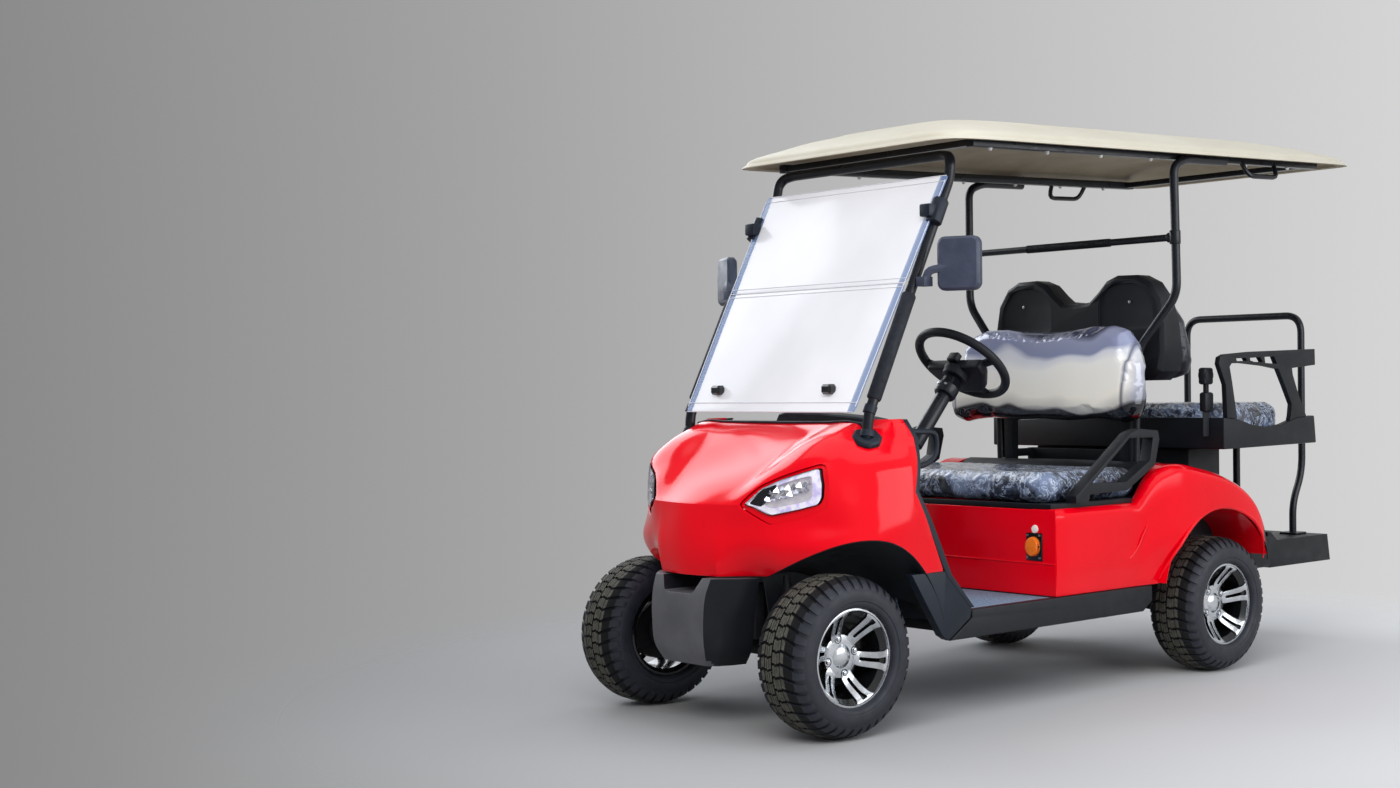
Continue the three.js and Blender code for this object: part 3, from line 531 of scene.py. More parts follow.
studio = {
    # name: place from the front axle in mm, aim, width and depth in m, watts, seen in the paint or not
    "keyBox": ((2600, -2600, 3300), (0, 900, 700), 3.4, 2.2, 150, False),
    "topBox": ((0, 1100, 4400), (0, 1100, 0), 5.0, 4.0, 55, True),
    "leftBox": ((4300, 1900, 2100), (0, 1200, 700), 4.0, 2.6, 100, True),
    "rightBox": ((-4200, 700, 3000), (0, 300, 700), 4.0, 3.0, 125, True),
    "rearBox": ((-1200, 5600, 2500), (0, 1200, 700), 3.4, 2.4, 60, False),
}
for name, (place, aim, width, depth, watts, mirrorsInPaint) in studio.items():
    light = bpy.data.lights.new(name, "AREA")
    light.shape = "RECTANGLE"
    light.size, light.size_y, light.energy = width, depth, watts
    lamp = bpy.data.objects.new(name, light)
    bpy.context.scene.collection.objects.link(lamp)
    light.color = (0.9, 0.94, 1.0) if mirrorsInPaint else (1.0, 1.0, 1.0)
    lamp.visible_glossy = mirrorsInPaint
    turn = (at(*aim) - at(*place)).to_track_quat("-Z", "Y").to_matrix().to_4x4()
    lamp.matrix_world = Matrix.Translation(at(*place)) @ turn

# The paper behind goes from mid grey on one hand to pale on the other: painted light, falling off across the
# floor and the backdrop
sweep = {"across": (0.7122, 0.7020, 0), "left": "#8a8a8a", "middle": "#a4a4a4", "right": "#d4d4d4",
         "clearFrom": 1.75, "clearTo": 3.0, "reach": 6}


def sweepColours(tree, source, low, high):
    along = addNode(tree, "ShaderNodeVectorMath", {"operation": "DOT_PRODUCT", 1: sweep["across"]},
                    {0: source})
    share = addNode(tree, "ShaderNodeMapRange", {"From Min": low, "From Max": high},
                    {"Value": along.outputs["Value"]})
    colours = addNode(tree, "ShaderNodeValToRGB", links={"Fac": share.outputs["Result"]},
                      stops=[(0.03, sweep["left"]), (0.32, sweep["middle"]), (0.92, sweep["right"])])
    return colours.outputs["Color"]


world = bpy.data.worlds.new("studioWorld")
bpy.context.scene.world = world
world.use_nodes = True
tree = world.node_tree
lightPath = addNode(tree, "ShaderNodeLightPath")
seen = addNode(tree, "ShaderNodeMath", {"operation": "MAXIMUM"},
               {0: lightPath.outputs["Is Camera Ray"], 1: lightPath.outputs["Is Transmission Ray"]})
orGlossy = addNode(tree, "ShaderNodeMath", {"operation": "MAXIMUM"},
                   {0: seen.outputs["Value"], 1: lightPath.outputs["Is Glossy Ray"]})
fill = addNode(tree, "ShaderNodeBackground", {"Color": linear("#dfe3ea"), "Strength": 0.5})
direction = addNode(tree, "ShaderNodeTexCoord").outputs["Generated"]
backdrop = addNode(tree, "ShaderNodeBackground", {"Strength": 1.0},
                   {"Color": sweepColours(tree, direction, -0.5, 0.3)})
pickOne = addNode(tree, "ShaderNodeMixShader", links={
    "Fac": orGlossy.outputs["Value"], 1: fill.outputs["Background"], 2: backdrop.outputs["Background"]})
tree.links.new(pickOne.outputs["Shader"], tree.nodes["World Output"].inputs["Surface"])

clearSelection()
bpy.ops.mesh.primitive_circle_add(vertices=96, radius=sweep["reach"], fill_type="NGON")
floor = named("studioFloor")
floorMaterial, tree, shader = newMaterial("paperSweep", Roughness=0.8, Specular_IOR_Level=0.1)
place = addNode(tree, "ShaderNodeTexCoord").outputs["Object"]
# The floor's colour carries the same painted falloff of light
tree.links.new(sweepColours(tree, place, -2.5, 2.3), shader.inputs["Base Color"])
distance = addNode(tree, "ShaderNodeVectorMath", {"operation": "LENGTH"}, {0: place})
fade = addNode(tree, "ShaderNodeMapRange", {"From Min": sweep["clearFrom"], "From Max": sweep["clearTo"],
                                            "interpolation_type": "SMOOTHSTEP"},
               {"Value": distance.outputs["Value"]})
clear = addNode(tree, "ShaderNodeBsdfTransparent")
blendIn = addNode(tree, "ShaderNodeMixShader", links={"Fac": fade.outputs["Result"],
                                                      1: shader.outputs["BSDF"], 2: clear.outputs["BSDF"]})
tree.links.new(blendIn.outputs["Shader"], tree.nodes["Material Output"].inputs["Surface"])
floor.data.materials.append(floorMaterial)
bpy.context.scene.view_settings.view_transform = "Standard"
print("studio ready")

# Nose: a moulded shell with two ridges, a turned-down front and openings for lamps and wheels

# Half outlines in plan, level by level: z, then x, y of centre, ridge, lamp inner, lamp middle,
# lamp outer, flare, side and rear corner
noseLevels = [
    [445, (0, -196), (130, -178), (222, -92), (330, -60), (412, -16), (477, 30), (519, 84), (530, 330)],
    [490, (0, -203), (135, -186), (222, -125), (325, -85), (411, -38), (477, 16), (520, 80), (531, 330)],
    [530, (0, -205), (139, -186), (222, -142), (320, -98), (414, -46), (480, 10), (522, 78), (532, 330)],
    [600, (0, -200), (139, -174), (207, -150), (295, -104), (402, -34), (474, 20), (522, 90), (532, 330)],
    [650, (0, -190), (139, -168), (210, -150), (302, -106), (406, -32), (468, 24), (514, 100), (531, 330)],
    [700, (0, -118), (160, -106), (234, -118), (308, -90), (406, -30), (460, 34), (506, 110), (526, 330)],
    [756, (0, -25), (188, -36), (264, -60), (326, -60), (404, -22), (448, 46), (490, 120), (514, 330)],
    [820, (0, 70), (225, 50), (300, 16), (350, 18), (402, 60), (421, 115), (448, 172), (480, 330)],
    [860, (0, 125), (250, 115), (320, 100), (362, 108), (385, 146), (402, 181), (424, 219), (448, 330)],
    [886, (0, 170), (265, 168), (330, 165), (370, 175), (395, 200), (406, 225), (412, 250), (414, 330)],
]
nose = {
    "wall": 4, "recessDepth": 8, "recessWall": 3,
    "rearEdge": [(285, 1000), (285, 900), (282, 830), (250, 752), (226, 680), (326, 462), (340, 430),
                 (420, 300), (700, 300), (700, 1000)],
    "archStart": (222, -5, 215), "archEnd": (560, -5, 215), "archRadii": (236, 361.4), "archLow": 300,
    "dashGaps": ((-352, 352, 700), (340, 386, 845), (-386, -340, 845)),  # from x, to x, up from z
    "lampHole": [(213, 651), (241, 643), (268, 628), (286, 620), (360, 638), (403, 652), (411, 671),
                 (411, 706), (403, 751), (398, 755), (354, 739), (300, 720), (254, 696), (230, 668)],
    "recess": [(196, 650), (228, 628), (262, 606), (284, 594), (362, 612), (424, 640), (427, 672), (425, 708),
               (414, 760), (402, 767), (352, 749), (295, 729), (247, 705), (216, 676)],
}


def noseSurface(name):
    table = []
    for z, *half in noseLevels:
        other = [(-x, y) for x, y in half[:0:-1]]
        table.append([at(x, y, z) for x, y in other + half])
    piece = smoothSkin(name, table, sharpAcross=(6, 8), sharpAlong=(4,), stepsAcross=6, stepsAlong=6)
    mergeAndFaceOut(piece, 0.00001)
    return piece


def faceTowards(piece, direction):  # an open skin whose faces should look this way on the whole
    total = sum((face.normal.dot(direction) * face.area for face in piece.data.polygons))
    if total < 0:
        piece.data.flip_normals()
    return piece


def archCone(name, grow=0.0):
    first, last = nose["archStart"], nose["archEnd"]
    radius, endRadius = nose["archRadii"]
    return rod(name, first, last, radius + grow, endRadius + grow, sides=96)


def noseLayer(name, outline, setBack, thick, hole=None, corner=8, holeCorner=8):
    # A piece of the nose's own skin, set back and cut to an outline in front view
    layer = faceTowards(noseSurface(name), Vector((0, -1, 0.3)))
    applyModifier(layer, "DISPLACE", strength=-setBack / 1000, mid_level=0)
    applyModifier(layer, "SOLIDIFY", thickness=thick / 1000, offset=-1)
    cutAway(layer, plate(name + "Keeper", "front", [roundedCorners(outline, corner)], -400, 60), keep=True)
    if hole:
        cutAway(layer, plate(name + "Hole", "front", [roundedCorners(hole, holeCorner)], -400, 60))
    return layer


shell = faceTowards(noseSurface("noseShell"), Vector((0, -1, 0.3)))
applyModifier(shell, "SOLIDIFY", thickness=nose["wall"] / 1000, offset=-1)
cone = archCone("noseArchCutter")
cutters = [plate("noseRearCutter", "side", [nose["rearEdge"]], -700, 700), cone, mirrored(cone)]
lamps = plate("lampCutter", "front", [roundedCorners(nose["recess"], 16)], -400, 20)
cutters += [lamps, mirrored(lamps)]
for x0, x1, z0 in nose["dashGaps"]:
    cutters.append(block("dashGapCutter", x0, x1, 150, 420, z0, 1000, bevel=0))
cutAway(shell, *cutters)
applyModifier(shell, "BEVEL", width=0.0012, segments=2, limit_method="ANGLE", angle_limit=math.radians(40))
done(shell, "chassis", glossRed, "front_cowl", angle=28)

# The lamp's recess: the same skin set back, inside the recess's outline
surround = noseLayer("lampSurround_left", nose["recess"], nose["recessDepth"], nose["recessWall"],
                     nose["lampHole"], corner=16, holeCorner=10)
both(surround, "chassis", glossRed)

# Wheel arch liners in black, inside the nose: the arch's cone, kept only where the nose is
noseForm = noseSurface("noseForm")
pick(noseForm)
bpy.ops.object.mode_set(mode="EDIT")
bpy.ops.mesh.select_all(action="DESELECT")
bpy.ops.mesh.select_mode(type="EDGE")
bpy.ops.mesh.select_non_manifold()
bpy.ops.mesh.extrude_region_move(TRANSFORM_OT_translate={"value": (0, 0.03, -0.16)})
bpy.ops.mesh.edge_face_add()
bpy.ops.mesh.select_all(action="SELECT")
bpy.ops.mesh.normals_make_consistent(inside=False)
bpy.ops.mesh.select_mode(type="VERT")
bpy.ops.object.mode_set(mode="OBJECT")
moveMesh(noseForm, Matrix.Translation((0, 0.006, 0)))
liner = trimmed(archCone("archLiner_left", grow=-1), ((0, 0, nose["archLow"]), (0, 0, -1)))
applyModifier(liner, "SOLIDIFY", thickness=0.003, offset=0)
cutAway(liner, noseForm, keep=True)
both(liner, "chassis", blackGrain)
print("nose ready")

# Headlamps: a clear lens over a pearl bucket, a white light guide and small faceted reflectors

headlamp = {
    "outline": [(209, 650), (240, 641), (268, 625), (286, 617), (360, 635), (406, 650), (414, 670),
                (414, 707), (406, 753), (400, 758), (354, 742), (299, 723), (252, 698), (227, 670)],
    "middle": (332, 686), "lensShare": (0.965, 0.955), "rimShare": (0.945, 0.92),
    "guideHole": [(262, 648), (286, 640), (358, 657), (380, 664), (386, 676), (385, 705), (381, 733),
                  (354, 727), (304, 711), (268, 690)],
    "wedge": [(226, 654), (262, 646), (292, 709), (252, 692)],
    "facetRows": 2, "facetColumns": 8, "firstFacet": (272, -110.5, 665), "facetRadii": (0.0112, 0.002),
    "facetDepth": 0.014, "facetColumn": (13.5, 3.6), "facetRow": (5, 20), "facetSweep": (0.62, 0.3),
}


def insetOutline(points, distance):  # moves each edge of a closed outline inwards
    count = len(points)
    area = sum(points[i - 1][0] * points[i][1] - points[i][0] * points[i - 1][1] for i in range(count))
    side = 1 if area > 0 else -1
    moved = []
    for i in range(count):
        here = Vector(points[i])
        first = (here - Vector(points[i - 1])).normalized()
        second = (Vector(points[(i + 1) % count]) - here).normalized()
        normal1, normal2 = Vector((-first.y, first.x)) * side, Vector((-second.y, second.x)) * side
        mid = (normal1 + normal2).normalized()
        moved.append(tuple(here + mid * distance / max(mid.dot(normal1), 0.4)))
    return moved


def lampOutline(share):  # the lamp's outline, drawn in towards its middle
    midX, midZ = headlamp["middle"]
    return [(midX + (x - midX) * share[0], midZ + (z - midZ) * share[1]) for x, z in headlamp["outline"]]


lensLine, rimLine = lampOutline(headlamp["lensShare"]), lampOutline(headlamp["rimShare"])
lampRim = noseLayer("lampRim_left", lensLine, 2, 12, rimLine)
both(lampRim, "chassis", blackBorder)
# Clear polycarbonate lens: thin, glossy, hardly bends what is behind it
lampGlass, tree, shader = newMaterial("lampPolycarbonate", Roughness=0.02, IOR=1.3, Transmission_Weight=1.0)
shader.inputs["Base Color"].default_value = linear("#f6f6fb")
lens = noseLayer("lampLens_left", insetOutline(lensLine, 1.5), 0.5, 1.4)
both(lens, "chassis", lampGlass, ["headlamp_left"])
# Opal acrylic guide, faintly lilac where it is thick, in clouds of 25 mm
guideGlow, tree, shader = newMaterial("opalLightGuide", Roughness=0.3, Emission_Strength=0.35)
place = addNode(tree, "ShaderNodeTexCoord").outputs["Object"]
veins = addNode(tree, "ShaderNodeTexNoise", {"Scale": 1000 / 25, "Detail": 3.0}, {"Vector": place})
tones = addNode(tree, "ShaderNodeValToRGB", links={"Fac": veins.outputs["Fac"]},
                stops=[(0.35, "#c9bfe0"), (0.6, "#f6f3fa")])
for socket in ("Base Color", "Emission Color"):
    tree.links.new(tones.outputs["Color"], shader.inputs[socket])
guide = noseLayer("lampGuide_left", rimLine, 8, 7, headlamp["guideHole"])
both(guide, "chassis", guideGlow)
bucket = noseLayer("lampBucket_left", insetOutline(lensLine, 1), 18, 3)
both(bucket, "chassis", pearl)
lampWall = noseLayer("lampWall_left", insetOutline(lensLine, 1), 3, 30, insetOutline(lensLine, 3))
both(lampWall, "chassis", pearl)
# Black wedge at the lamp's inner end
wedge = noseLayer("lampWedge_left", headlamp["wedge"], 6, 6, corner=5)
both(wedge, "chassis", blackBorder)
facets = []
random.seed(4)
firstFacet = Vector(headlamp["firstFacet"])
perColumn, perRow = Vector(headlamp["facetColumn"]), Vector(headlamp["facetRow"])
for row in range(headlamp["facetRows"]):
    for column in range(headlamp["facetColumns"]):
        aside, up = perColumn * column + perRow * row
        x, z = firstFacet.x + aside, firstFacet.z + up
        y = firstFacet.y + Vector((aside, up)).dot(headlamp["facetSweep"])  # back along the nose's sweep
        clearSelection()
        bpy.ops.mesh.primitive_cone_add(vertices=3 + (row + column) % 2, radius1=headlamp["facetRadii"][0],
                                        radius2=headlamp["facetRadii"][1], depth=headlamp["facetDepth"],
                                        rotation=(math.radians(100), 0, random.uniform(-0.5, 0.9)),
                                        location=at(x, y, z))
        facet = bpy.context.object
        applyPlace(facet)
        facets.append(facet)
both(joined("lampFacets_left", facets), "chassis", chrome, angle=5)
print("lamps ready")

# Rear body: a tub with a flat front box, flared hips round the rear wheels and a falling deck

bodySections = [
    # y, then z and half width of bottom, waist, shoulder and top
    [830, (325, 522), (400, 526), (575, 523), (593, 503)],
    [1238, (325, 524), (400, 530), (575, 526), (593, 503)],
    [1320, (325, 530), (450, 550), (662, 545), (680, 512)],
    [1400, (325, 535), (450, 572), (690, 564), (710, 530)],
    [1550, (325, 540), (450, 584), (675, 574), (694, 535)],
    [1700, (325, 540), (450, 584), (636, 574), (655, 535)],
    [1780, (325, 540), (450, 582), (600, 570), (622, 530)],
    [1830, (325, 540), (430, 578), (562, 568), (585, 525)],
    [1880, (325, 535), (400, 572), (495, 562), (516, 520)],
    [1905, (325, 532), (370, 562), (405, 555), (424, 510)],
]
rearShape = {
    "wall": 4, "archPlace": (1623, 257), "archRadius": 302, "corner": 20, "deckEdge": 424,
    "seatWell": (-486, 486, 1200, 1348, 597, 760), "socketHole": (401, 469, 820, 850, 431, 519),
    "blackFrom": (1874, 500),  # the sides are black behind this y and under this height
    "lipSide": [(325, 537), (400, 566), (450, 581), (500, 582), (562, 575)],  # height and half width
    "linerSides": (350, 562), "linerRear": 1899, "linerLow": 327,
    "archWall": [(1322, 330), (1903, 330), (1903, 400), (1860, 500), (1740, 560), (1500, 560), (1380, 500),
                 (1322, 400)],
}


def bodyHalfLine(section):
    y, bottom, waist, shoulder, top = section
    corner = rearShape["corner"] if y > 1300 else 9
    low = [Vector((x, z)) for z, x in (bottom, waist, shoulder)]
    lift = (Vector((top[1], top[0])) - low[2])
    bend = min(corner, lift.length * 0.4)
    side = (low[2] - low[1]).normalized()
    start, end = low[2] - side * corner, low[2] + lift.normalized() * bend
    rounded = [start.lerp(low[2], t).lerp(low[2].lerp(end, t), t) for t in (0, 0.25, 0.5, 0.75, 1)]
    reach = Vector((top[1], top[0]))
    inner = Vector((rearShape["deckEdge"], top[0] + (3 if y > 1300 else 0)))
    flat = [reach.lerp(inner, t) for t in (0, 0.35, 0.7, 1)]
    return [at(p.x, y, p.y) for p in [low[0], low[0].lerp(low[1], 0.5), low[1], low[1].lerp(start, 0.5),
                                      *rounded, *flat]]


rows = [bodyHalfLine(section) for section in bodySections]
half = smoothSkin("rearBodySide_left", rows, sharpAlong=(1,), stepsAcross=3, stepsAlong=6)
mergeAndFaceOut(half, 0.00001)
faceTowards(half, Vector((1, 0, 0.5)))
applyModifier(half, "SOLIDIFY", thickness=rearShape["wall"] / 1000, offset=-1)
archY, archZ = rearShape["archPlace"]
archRadius = rearShape["archRadius"]
cutAway(half, rod("rearArchCutter", (345, archY, archZ), (640, archY, archZ), archRadius, sides=96))
cutAway(half, block("seatWellCutter", *rearShape["seatWell"], bevel=0))
applyModifier(half, "BEVEL", width=0.0015, segments=2, limit_method="ANGLE", angle_limit=math.radians(50))
otherHalf = mirrored(half, "rearBodySide_right")
front = plate("rearBodyFront", "front", [rectangle(-523, 523, 325, 592, 6)], 829, 834, 1.5)
cutAway(front, block("socketHole", *rearShape["socketHole"], bevel=0))
deckRows = [[at(x, y, top[0] + 3 + (2 if x == 0 else 0)) for x in (-426, -210, 0, 210, 426)]
            for y, *_, top in bodySections if y >= 1320]
deckRows[0] = [corner + Vector((0, 0.028, 0)) for corner in deckRows[0]]
deck = faceTowards(smoothSkin("rearDeckTop", deckRows, stepsAcross=3, stepsAlong=5), Vector((0, 0, 1)))
applyModifier(deck, "SOLIDIFY", thickness=0.003, offset=-1)
blackY, blackZ = at(0, rearShape["blackFrom"][0], 0).y, rearShape["blackFrom"][1] / 1000
for piece in (half, otherHalf):
    done(piece, "chassis", glossRed, angle=30)
    paintFaces(piece, blackGrain, lambda face: face.center.y > blackY and face.center.z < blackZ)
done(front, "chassis", glossRed, "rear_body")
done(deck, "chassis", blackGrain)

# Rolled lip along each rear arch, on the side's own curve
lip = []
for angle in range(166, 16, -5):
    y = archY + (archRadius + 3) * math.cos(math.radians(angle))
    z = archZ + (archRadius + 3) * math.sin(math.radians(angle))
    for (z0, x0), (z1, x1) in zip(rearShape["lipSide"], rearShape["lipSide"][1:]):
        if z0 <= z <= z1:
            x = x0 + (x1 - x0) * (z - z0) / (z1 - z0)
    x -= max(1400 - y, 0) * 0.14 + max(y - 1800, 0) * 0.12
    lip.append((x - 2, y, z))
lip = tube("rearArchLip_left", lip, 6, taper=[0.3] + [1] * (len(lip) - 2) + [0.3])
both(lip, "chassis", glossRed, angle=60)

# Liner and inner wall of each rear arch
inX, outX = rearShape["linerSides"]
liner = rod("rearArchLiner_left", (345, archY, archZ), (566, archY, archZ), archRadius + 1, sides=96)
trimmed(liner, ((outX, 0, 0), (1, 0, 0)), ((0, 0, rearShape["linerLow"]), (0, 0, -1)),
        ((inX, 0, 0), (-1, 0, 0)), ((0, rearShape["linerRear"], 0), (0, 1, 0)))
applyModifier(liner, "SOLIDIFY", thickness=0.003, offset=0)
innerWall = plate("rearArchWall_left", "side", [rearShape["archWall"]], 345, 348)
both(liner, "chassis", glossRed)
both(innerWall, "chassis", blackGrain)
print("rear body ready")

# Roof: one moulded shell, rolled lip all round, ivory above and a darker tan below that is painted shade

roofShape = {
    "front": 405, "rear": 2558, "half": 516, "lipZ": 1708, "rise": 0.0426, "steps": 192, "paintedShadeUnder": 96,
    # share of the half width, height over the lip, squareness of the corners
    "rings": [(0.05, 90, 0.3), (0.5, 74, 0.3), (0.85, 34, 0.22), (0.955, 14, 0.16), (0.965, 2, 0.14),
              (0.995, 0, 0.13), (1, 12, 0.13), (0.985, 26, 0.14), (0.87, 50, 0.18), (0.65, 84, 0.24),
              (0.4, 104, 0.3), (0.05, 112, 0.3)],
}


def roofZ(y):
    return roofShape["lipZ"] + (y - 439) * roofShape["rise"]


def roofRing(share, lift, square):
    middle = (roofShape["front"] + roofShape["rear"]) / 2
    halfLong = (roofShape["rear"] - roofShape["front"]) / 2
    ring = []
    for i in range(roofShape["steps"]):
        angle = 2 * math.pi * (i + 0.5) / roofShape["steps"]
        wide = math.copysign(abs(math.cos(angle)) ** square, math.cos(angle))
        long = math.copysign(abs(math.sin(angle)) ** square, math.sin(angle))
        x = roofShape["half"] * share * wide
        y = middle + (halfLong - roofShape["half"] * (1 - share)) * long
        ring.append(at(x, y, roofZ(y) + lift))
    return ring + ring[:1]


rings = curved([Vector(r) for r in roofShape["rings"]], sharp=(4,), steps=4)
roof = skin("roofShell", [roofRing(*ring) for ring in rings], closed=True)
capEnds(roof)
done(roof, "chassis", ivoryRoof, "roof", angle=50)
# Downward faces near the lip are painted the darker tan: painted shade
paintFaces(roof, tanUndersidePaintedShade, lambda face: face.normal.z < -0.2
           and face.center.z < (roofZ(face.center.y * 1000 + frontAxle) + roofShape["paintedShadeUnder"]) / 1000)
print("roof ready")

# Roof frame, windscreen posts, rear posts: bent steel tube

postFoot, postKnee = (417, 141, 832), (421, 147, 905)
hoopHalf = [postFoot, postKnee, (420, 325, 1275), (405, 497, 1600), (403, 505, 1650), (388, 516, 1672),
            (350, 524, 1680), (0, 524, 1680)]
frames = {
    "hoopRadius": 16, "postRadius": 15, "loopRadius": 14, "barRadius": 12,
    "padTilt": (0.5, -0.31, 0.81), "padRadius": 45, "padTrim": (350, 480, 60, 220, 700, 806),
    "bar": (484, 1493, 1475), "flange": (235, 315, 2445, 2521),
    "post": [(316, 1478, 716), (330, 1482, 1100), (487, 1496, 1283), (482, 1490, 1715),
             (480, 1560, roofZ(1560) - 12), (480, 1780, roofZ(1780) - 12)],
    "loop": [(275, 2483, 404), (275, 2483, 520), (275, 2548, 640), (275, 2548, 1243), (0, 2548, 1243)],
}


def across(half):  # a half path from the left side, carried over to the right
    return half + [(-x, y, z) for x, y, z in half[-2::-1]]


hoopLine = bentLine(across(hoopHalf), 50, 10)
hoop = tube("windscreenHoop", hoopLine, frames["hoopRadius"], sides=8)
done(hoop, "chassis", blackTube, "windscreen_hoop", angle=60)
tilt = Vector(frames["padTilt"])
foot = Vector(postFoot)
padBase = rod("padBase", foot - tilt * 30, foot + tilt * 7, frames["padRadius"], sides=8, bevel=2)
padTop = rod("padTop", foot + tilt * 7, foot + tilt * 12, frames["padRadius"] - 1, 38, sides=8, bevel=1)
gaiter = tube("padCollar", [foot + tilt * 6, foot + Vector((0.6, 2, 20)), foot + Vector((0.9, 3, 27))],
              22, 8, taper=[1.0, 0.95, 0.8])
pad = joined("postPad_left", [padBase, padTop, gaiter])
cutAway(pad, block("padTrim", *frames["padTrim"], bevel=0))
both(pad, "chassis", blackWithPaintedSkySheen, angle=40)

post = tube("rearPost_left", bentLine(frames["post"], 45, 10), frames["postRadius"], sides=8)
both(post, "chassis", blackTube, angle=60)
barX, barY, barZ = frames["bar"]
bar = tube("rearPostBar", [(-barX, barY, barZ), (barX, barY, barZ)], frames["barRadius"], sides=8)
done(bar, "chassis", blackTube, "rear_post_frame", angle=60)
roofFrame = shapedNode("roof_frame", 2)
done(roofFrame, "chassis", blackTube, "roof_frame")

loop = tube("rearGrabHoop", bentLine(across(frames["loop"]), 70, 10), frames["loopRadius"], sides=8)
done(loop, "chassis", blackTube, "rear_hoop", angle=60)
flange = plate("hoopFlange_left", "plan", [rectangle(*frames["flange"], 10)], 400.4, 408, 1.5)
both(flange, "chassis", blackTube)
print("frame tubes ready")

# Fold-down windscreen: two clear panels in front of the posts

screen = {
    "half": 395, "splay": 0.0385, "thick": 6, "slope": 0.517, "front": 109, "low": 905, "corner": 16,
    "panels": {"windscreen_lower": (907, 1282), "windscreen_upper": (1286, 1612)},
    # height and thickness of each seam across, then the height at which the side seams start and end
    "seams": ((1272, 1.2), (1284, 1.6), (1298, 1.2), (936, 1.4), (1592, 1.3), (909, 1.2), (1609, 1.4)),
    # After the side seams: where the painted bluish margin starts and ends, and how much of the painted white
    # shows in the middle and at the margin
    "sideSeam": (925, 1595), "margin": (-0.030, -0.026), "filmed": 0.78, "bare": 0.5,
    "sleeve": (944, 948, 1080, 1246, 1250), "clamp": (905, 926), "clip": (1464, 1534),
    "clipTongue": (390, 434, 384, 420, 1482, 1520), "knobX": 262, "knobZ": 974,
    "edging": [(-386, 152, 872), (-330, 149, 881), (-250, 148, 877), (0, 148, 876), (250, 148, 877),
               (330, 149, 881), (386, 152, 872)],
}


def screenPlace(x, z, depth=0.0):  # a point on the sheet's front face, or in front of it
    out = Vector((0, -1, screen["slope"])).normalized() * depth
    return (x, screen["front"] + (z - screen["low"]) * screen["slope"] + out.y, z + out.z)


def screenHalf(z):
    return screen["half"] + (z - screen["low"]) * screen["splay"]


def screenPanel(name, low, high):
    corners = evenOutline([(screenHalf(low), low), (screenHalf(high), high)])
    sheet = plate(name, "front", [roundedCorners(corners, screen["corner"], 6)], 0, screen["thick"], 1.2)
    for corner in sheet.data.vertices:
        z = corner.co.z * 1000
        corner.co.y += (screen["front"] + (z - screen["low"]) * screen["slope"]) / 1000
    sheet.data.update()
    return sheet


# Clear acrylic painted white with a faint glow, a painted reflection of the bright sky: darker things show
# through faintly, and the margin is painted bluish, a painted reflection of blue sky
filmedAcrylic, tree, shader = newMaterial("filmedAcrylic", Roughness=0.12, Specular_IOR_Level=0.3,
                                          Emission_Strength=0.2)
place = addNode(tree, "ShaderNodeTexCoord").outputs["Object"]
whiteReflectionClouds = addNode(tree, "ShaderNodeTexNoise", {"Scale": 1000 / 454.545, "Detail": 3.0}, {"Vector": place})
tones = addNode(tree, "ShaderNodeValToRGB", links={"Fac": whiteReflectionClouds.outputs["Fac"]},
                stops=[(0.35, "#dddcdf"), (0.65, "#e9e8ea")])
clear = addNode(tree, "ShaderNodeBsdfTransparent", {"Color": linear("#f2f4f8")})
axes = addNode(tree, "ShaderNodeSeparateXYZ", links={"Vector": place})
outward = addNode(tree, "ShaderNodeMath", {"operation": "ABSOLUTE"}, {0: axes.outputs["X"]})
edge = addNode(tree, "ShaderNodeMath", {"operation": "MULTIPLY_ADD", 1: -screen["splay"],
                                        2: (screen["low"] * screen["splay"] - screen["half"]) / 1000},
               {0: axes.outputs["Z"]})
inside = addNode(tree, "ShaderNodeMath", {"operation": "ADD"},
                 {0: outward.outputs["Value"], 1: edge.outputs["Value"]})
start, end = screen["margin"]
cover = addNode(tree, "ShaderNodeMapRange",
                {"From Min": start, "From Max": end, "To Min": screen["filmed"], "To Max": screen["bare"]},
                {"Value": inside.outputs["Value"]})
margin = addNode(tree, "ShaderNodeMapRange", {"From Min": start, "From Max": end},
                 {"Value": inside.outputs["Value"]})
paintedReflectionColour = addNode(tree, "ShaderNodeMix", {"data_type": "RGBA", 7: linear("#7f93ba")},
                     {0: margin.outputs["Result"], 6: tones.outputs["Color"]})
# The painted reflection colour also gives the sheet a faint glow
for socket in ("Base Color", "Emission Color"):
    tree.links.new(paintedReflectionColour.outputs[2], shader.inputs[socket])
reflectionOverClear = addNode(tree, "ShaderNodeMixShader", links={0: cover.outputs["Result"], 1: clear.outputs["BSDF"],
                                                   2: shader.outputs["BSDF"]})
tree.links.new(reflectionOverClear.outputs["Shader"], tree.nodes["Material Output"].inputs["Surface"])
# Edges and seams of the same sheet: pale grey glassy lines
paleSeam = patterned("paleSeamLine", "#dcdde2", "#d0d2d8", 30, (0.3, 0.4), 5, 0.01)
for name, (low, high) in screen["panels"].items():
    done(screenPanel(name + "_sheet", low, high), "chassis", filmedAcrylic, name)
seams = []
for z, thick in screen["seams"]:
    reach = screenHalf(z) - 4
    seams.append(tube("seam", [screenPlace(-reach, z, 0.8), screenPlace(reach, z, 0.8)], thick, sides=3))
for side in (-1, 1):
    line = [screenPlace(side * (screenHalf(z) - 1), z, 0.5) for z in screen["sideSeam"]]
    seams.append(tube("seam", line, 1.3, sides=3))
done(joined("screenSeams", seams), "chassis", paleSeam)

# Foam sleeves on the posts, clips at the top corners and knobs at the foot of the sheet
postLine = [Vector(p) for p in hoopHalf]


def onPost(z):
    for first, second in zip(postLine, postLine[1:]):
        if first.z <= z <= second.z:
            return first.lerp(second, (z - first.z) / (second.z - first.z))


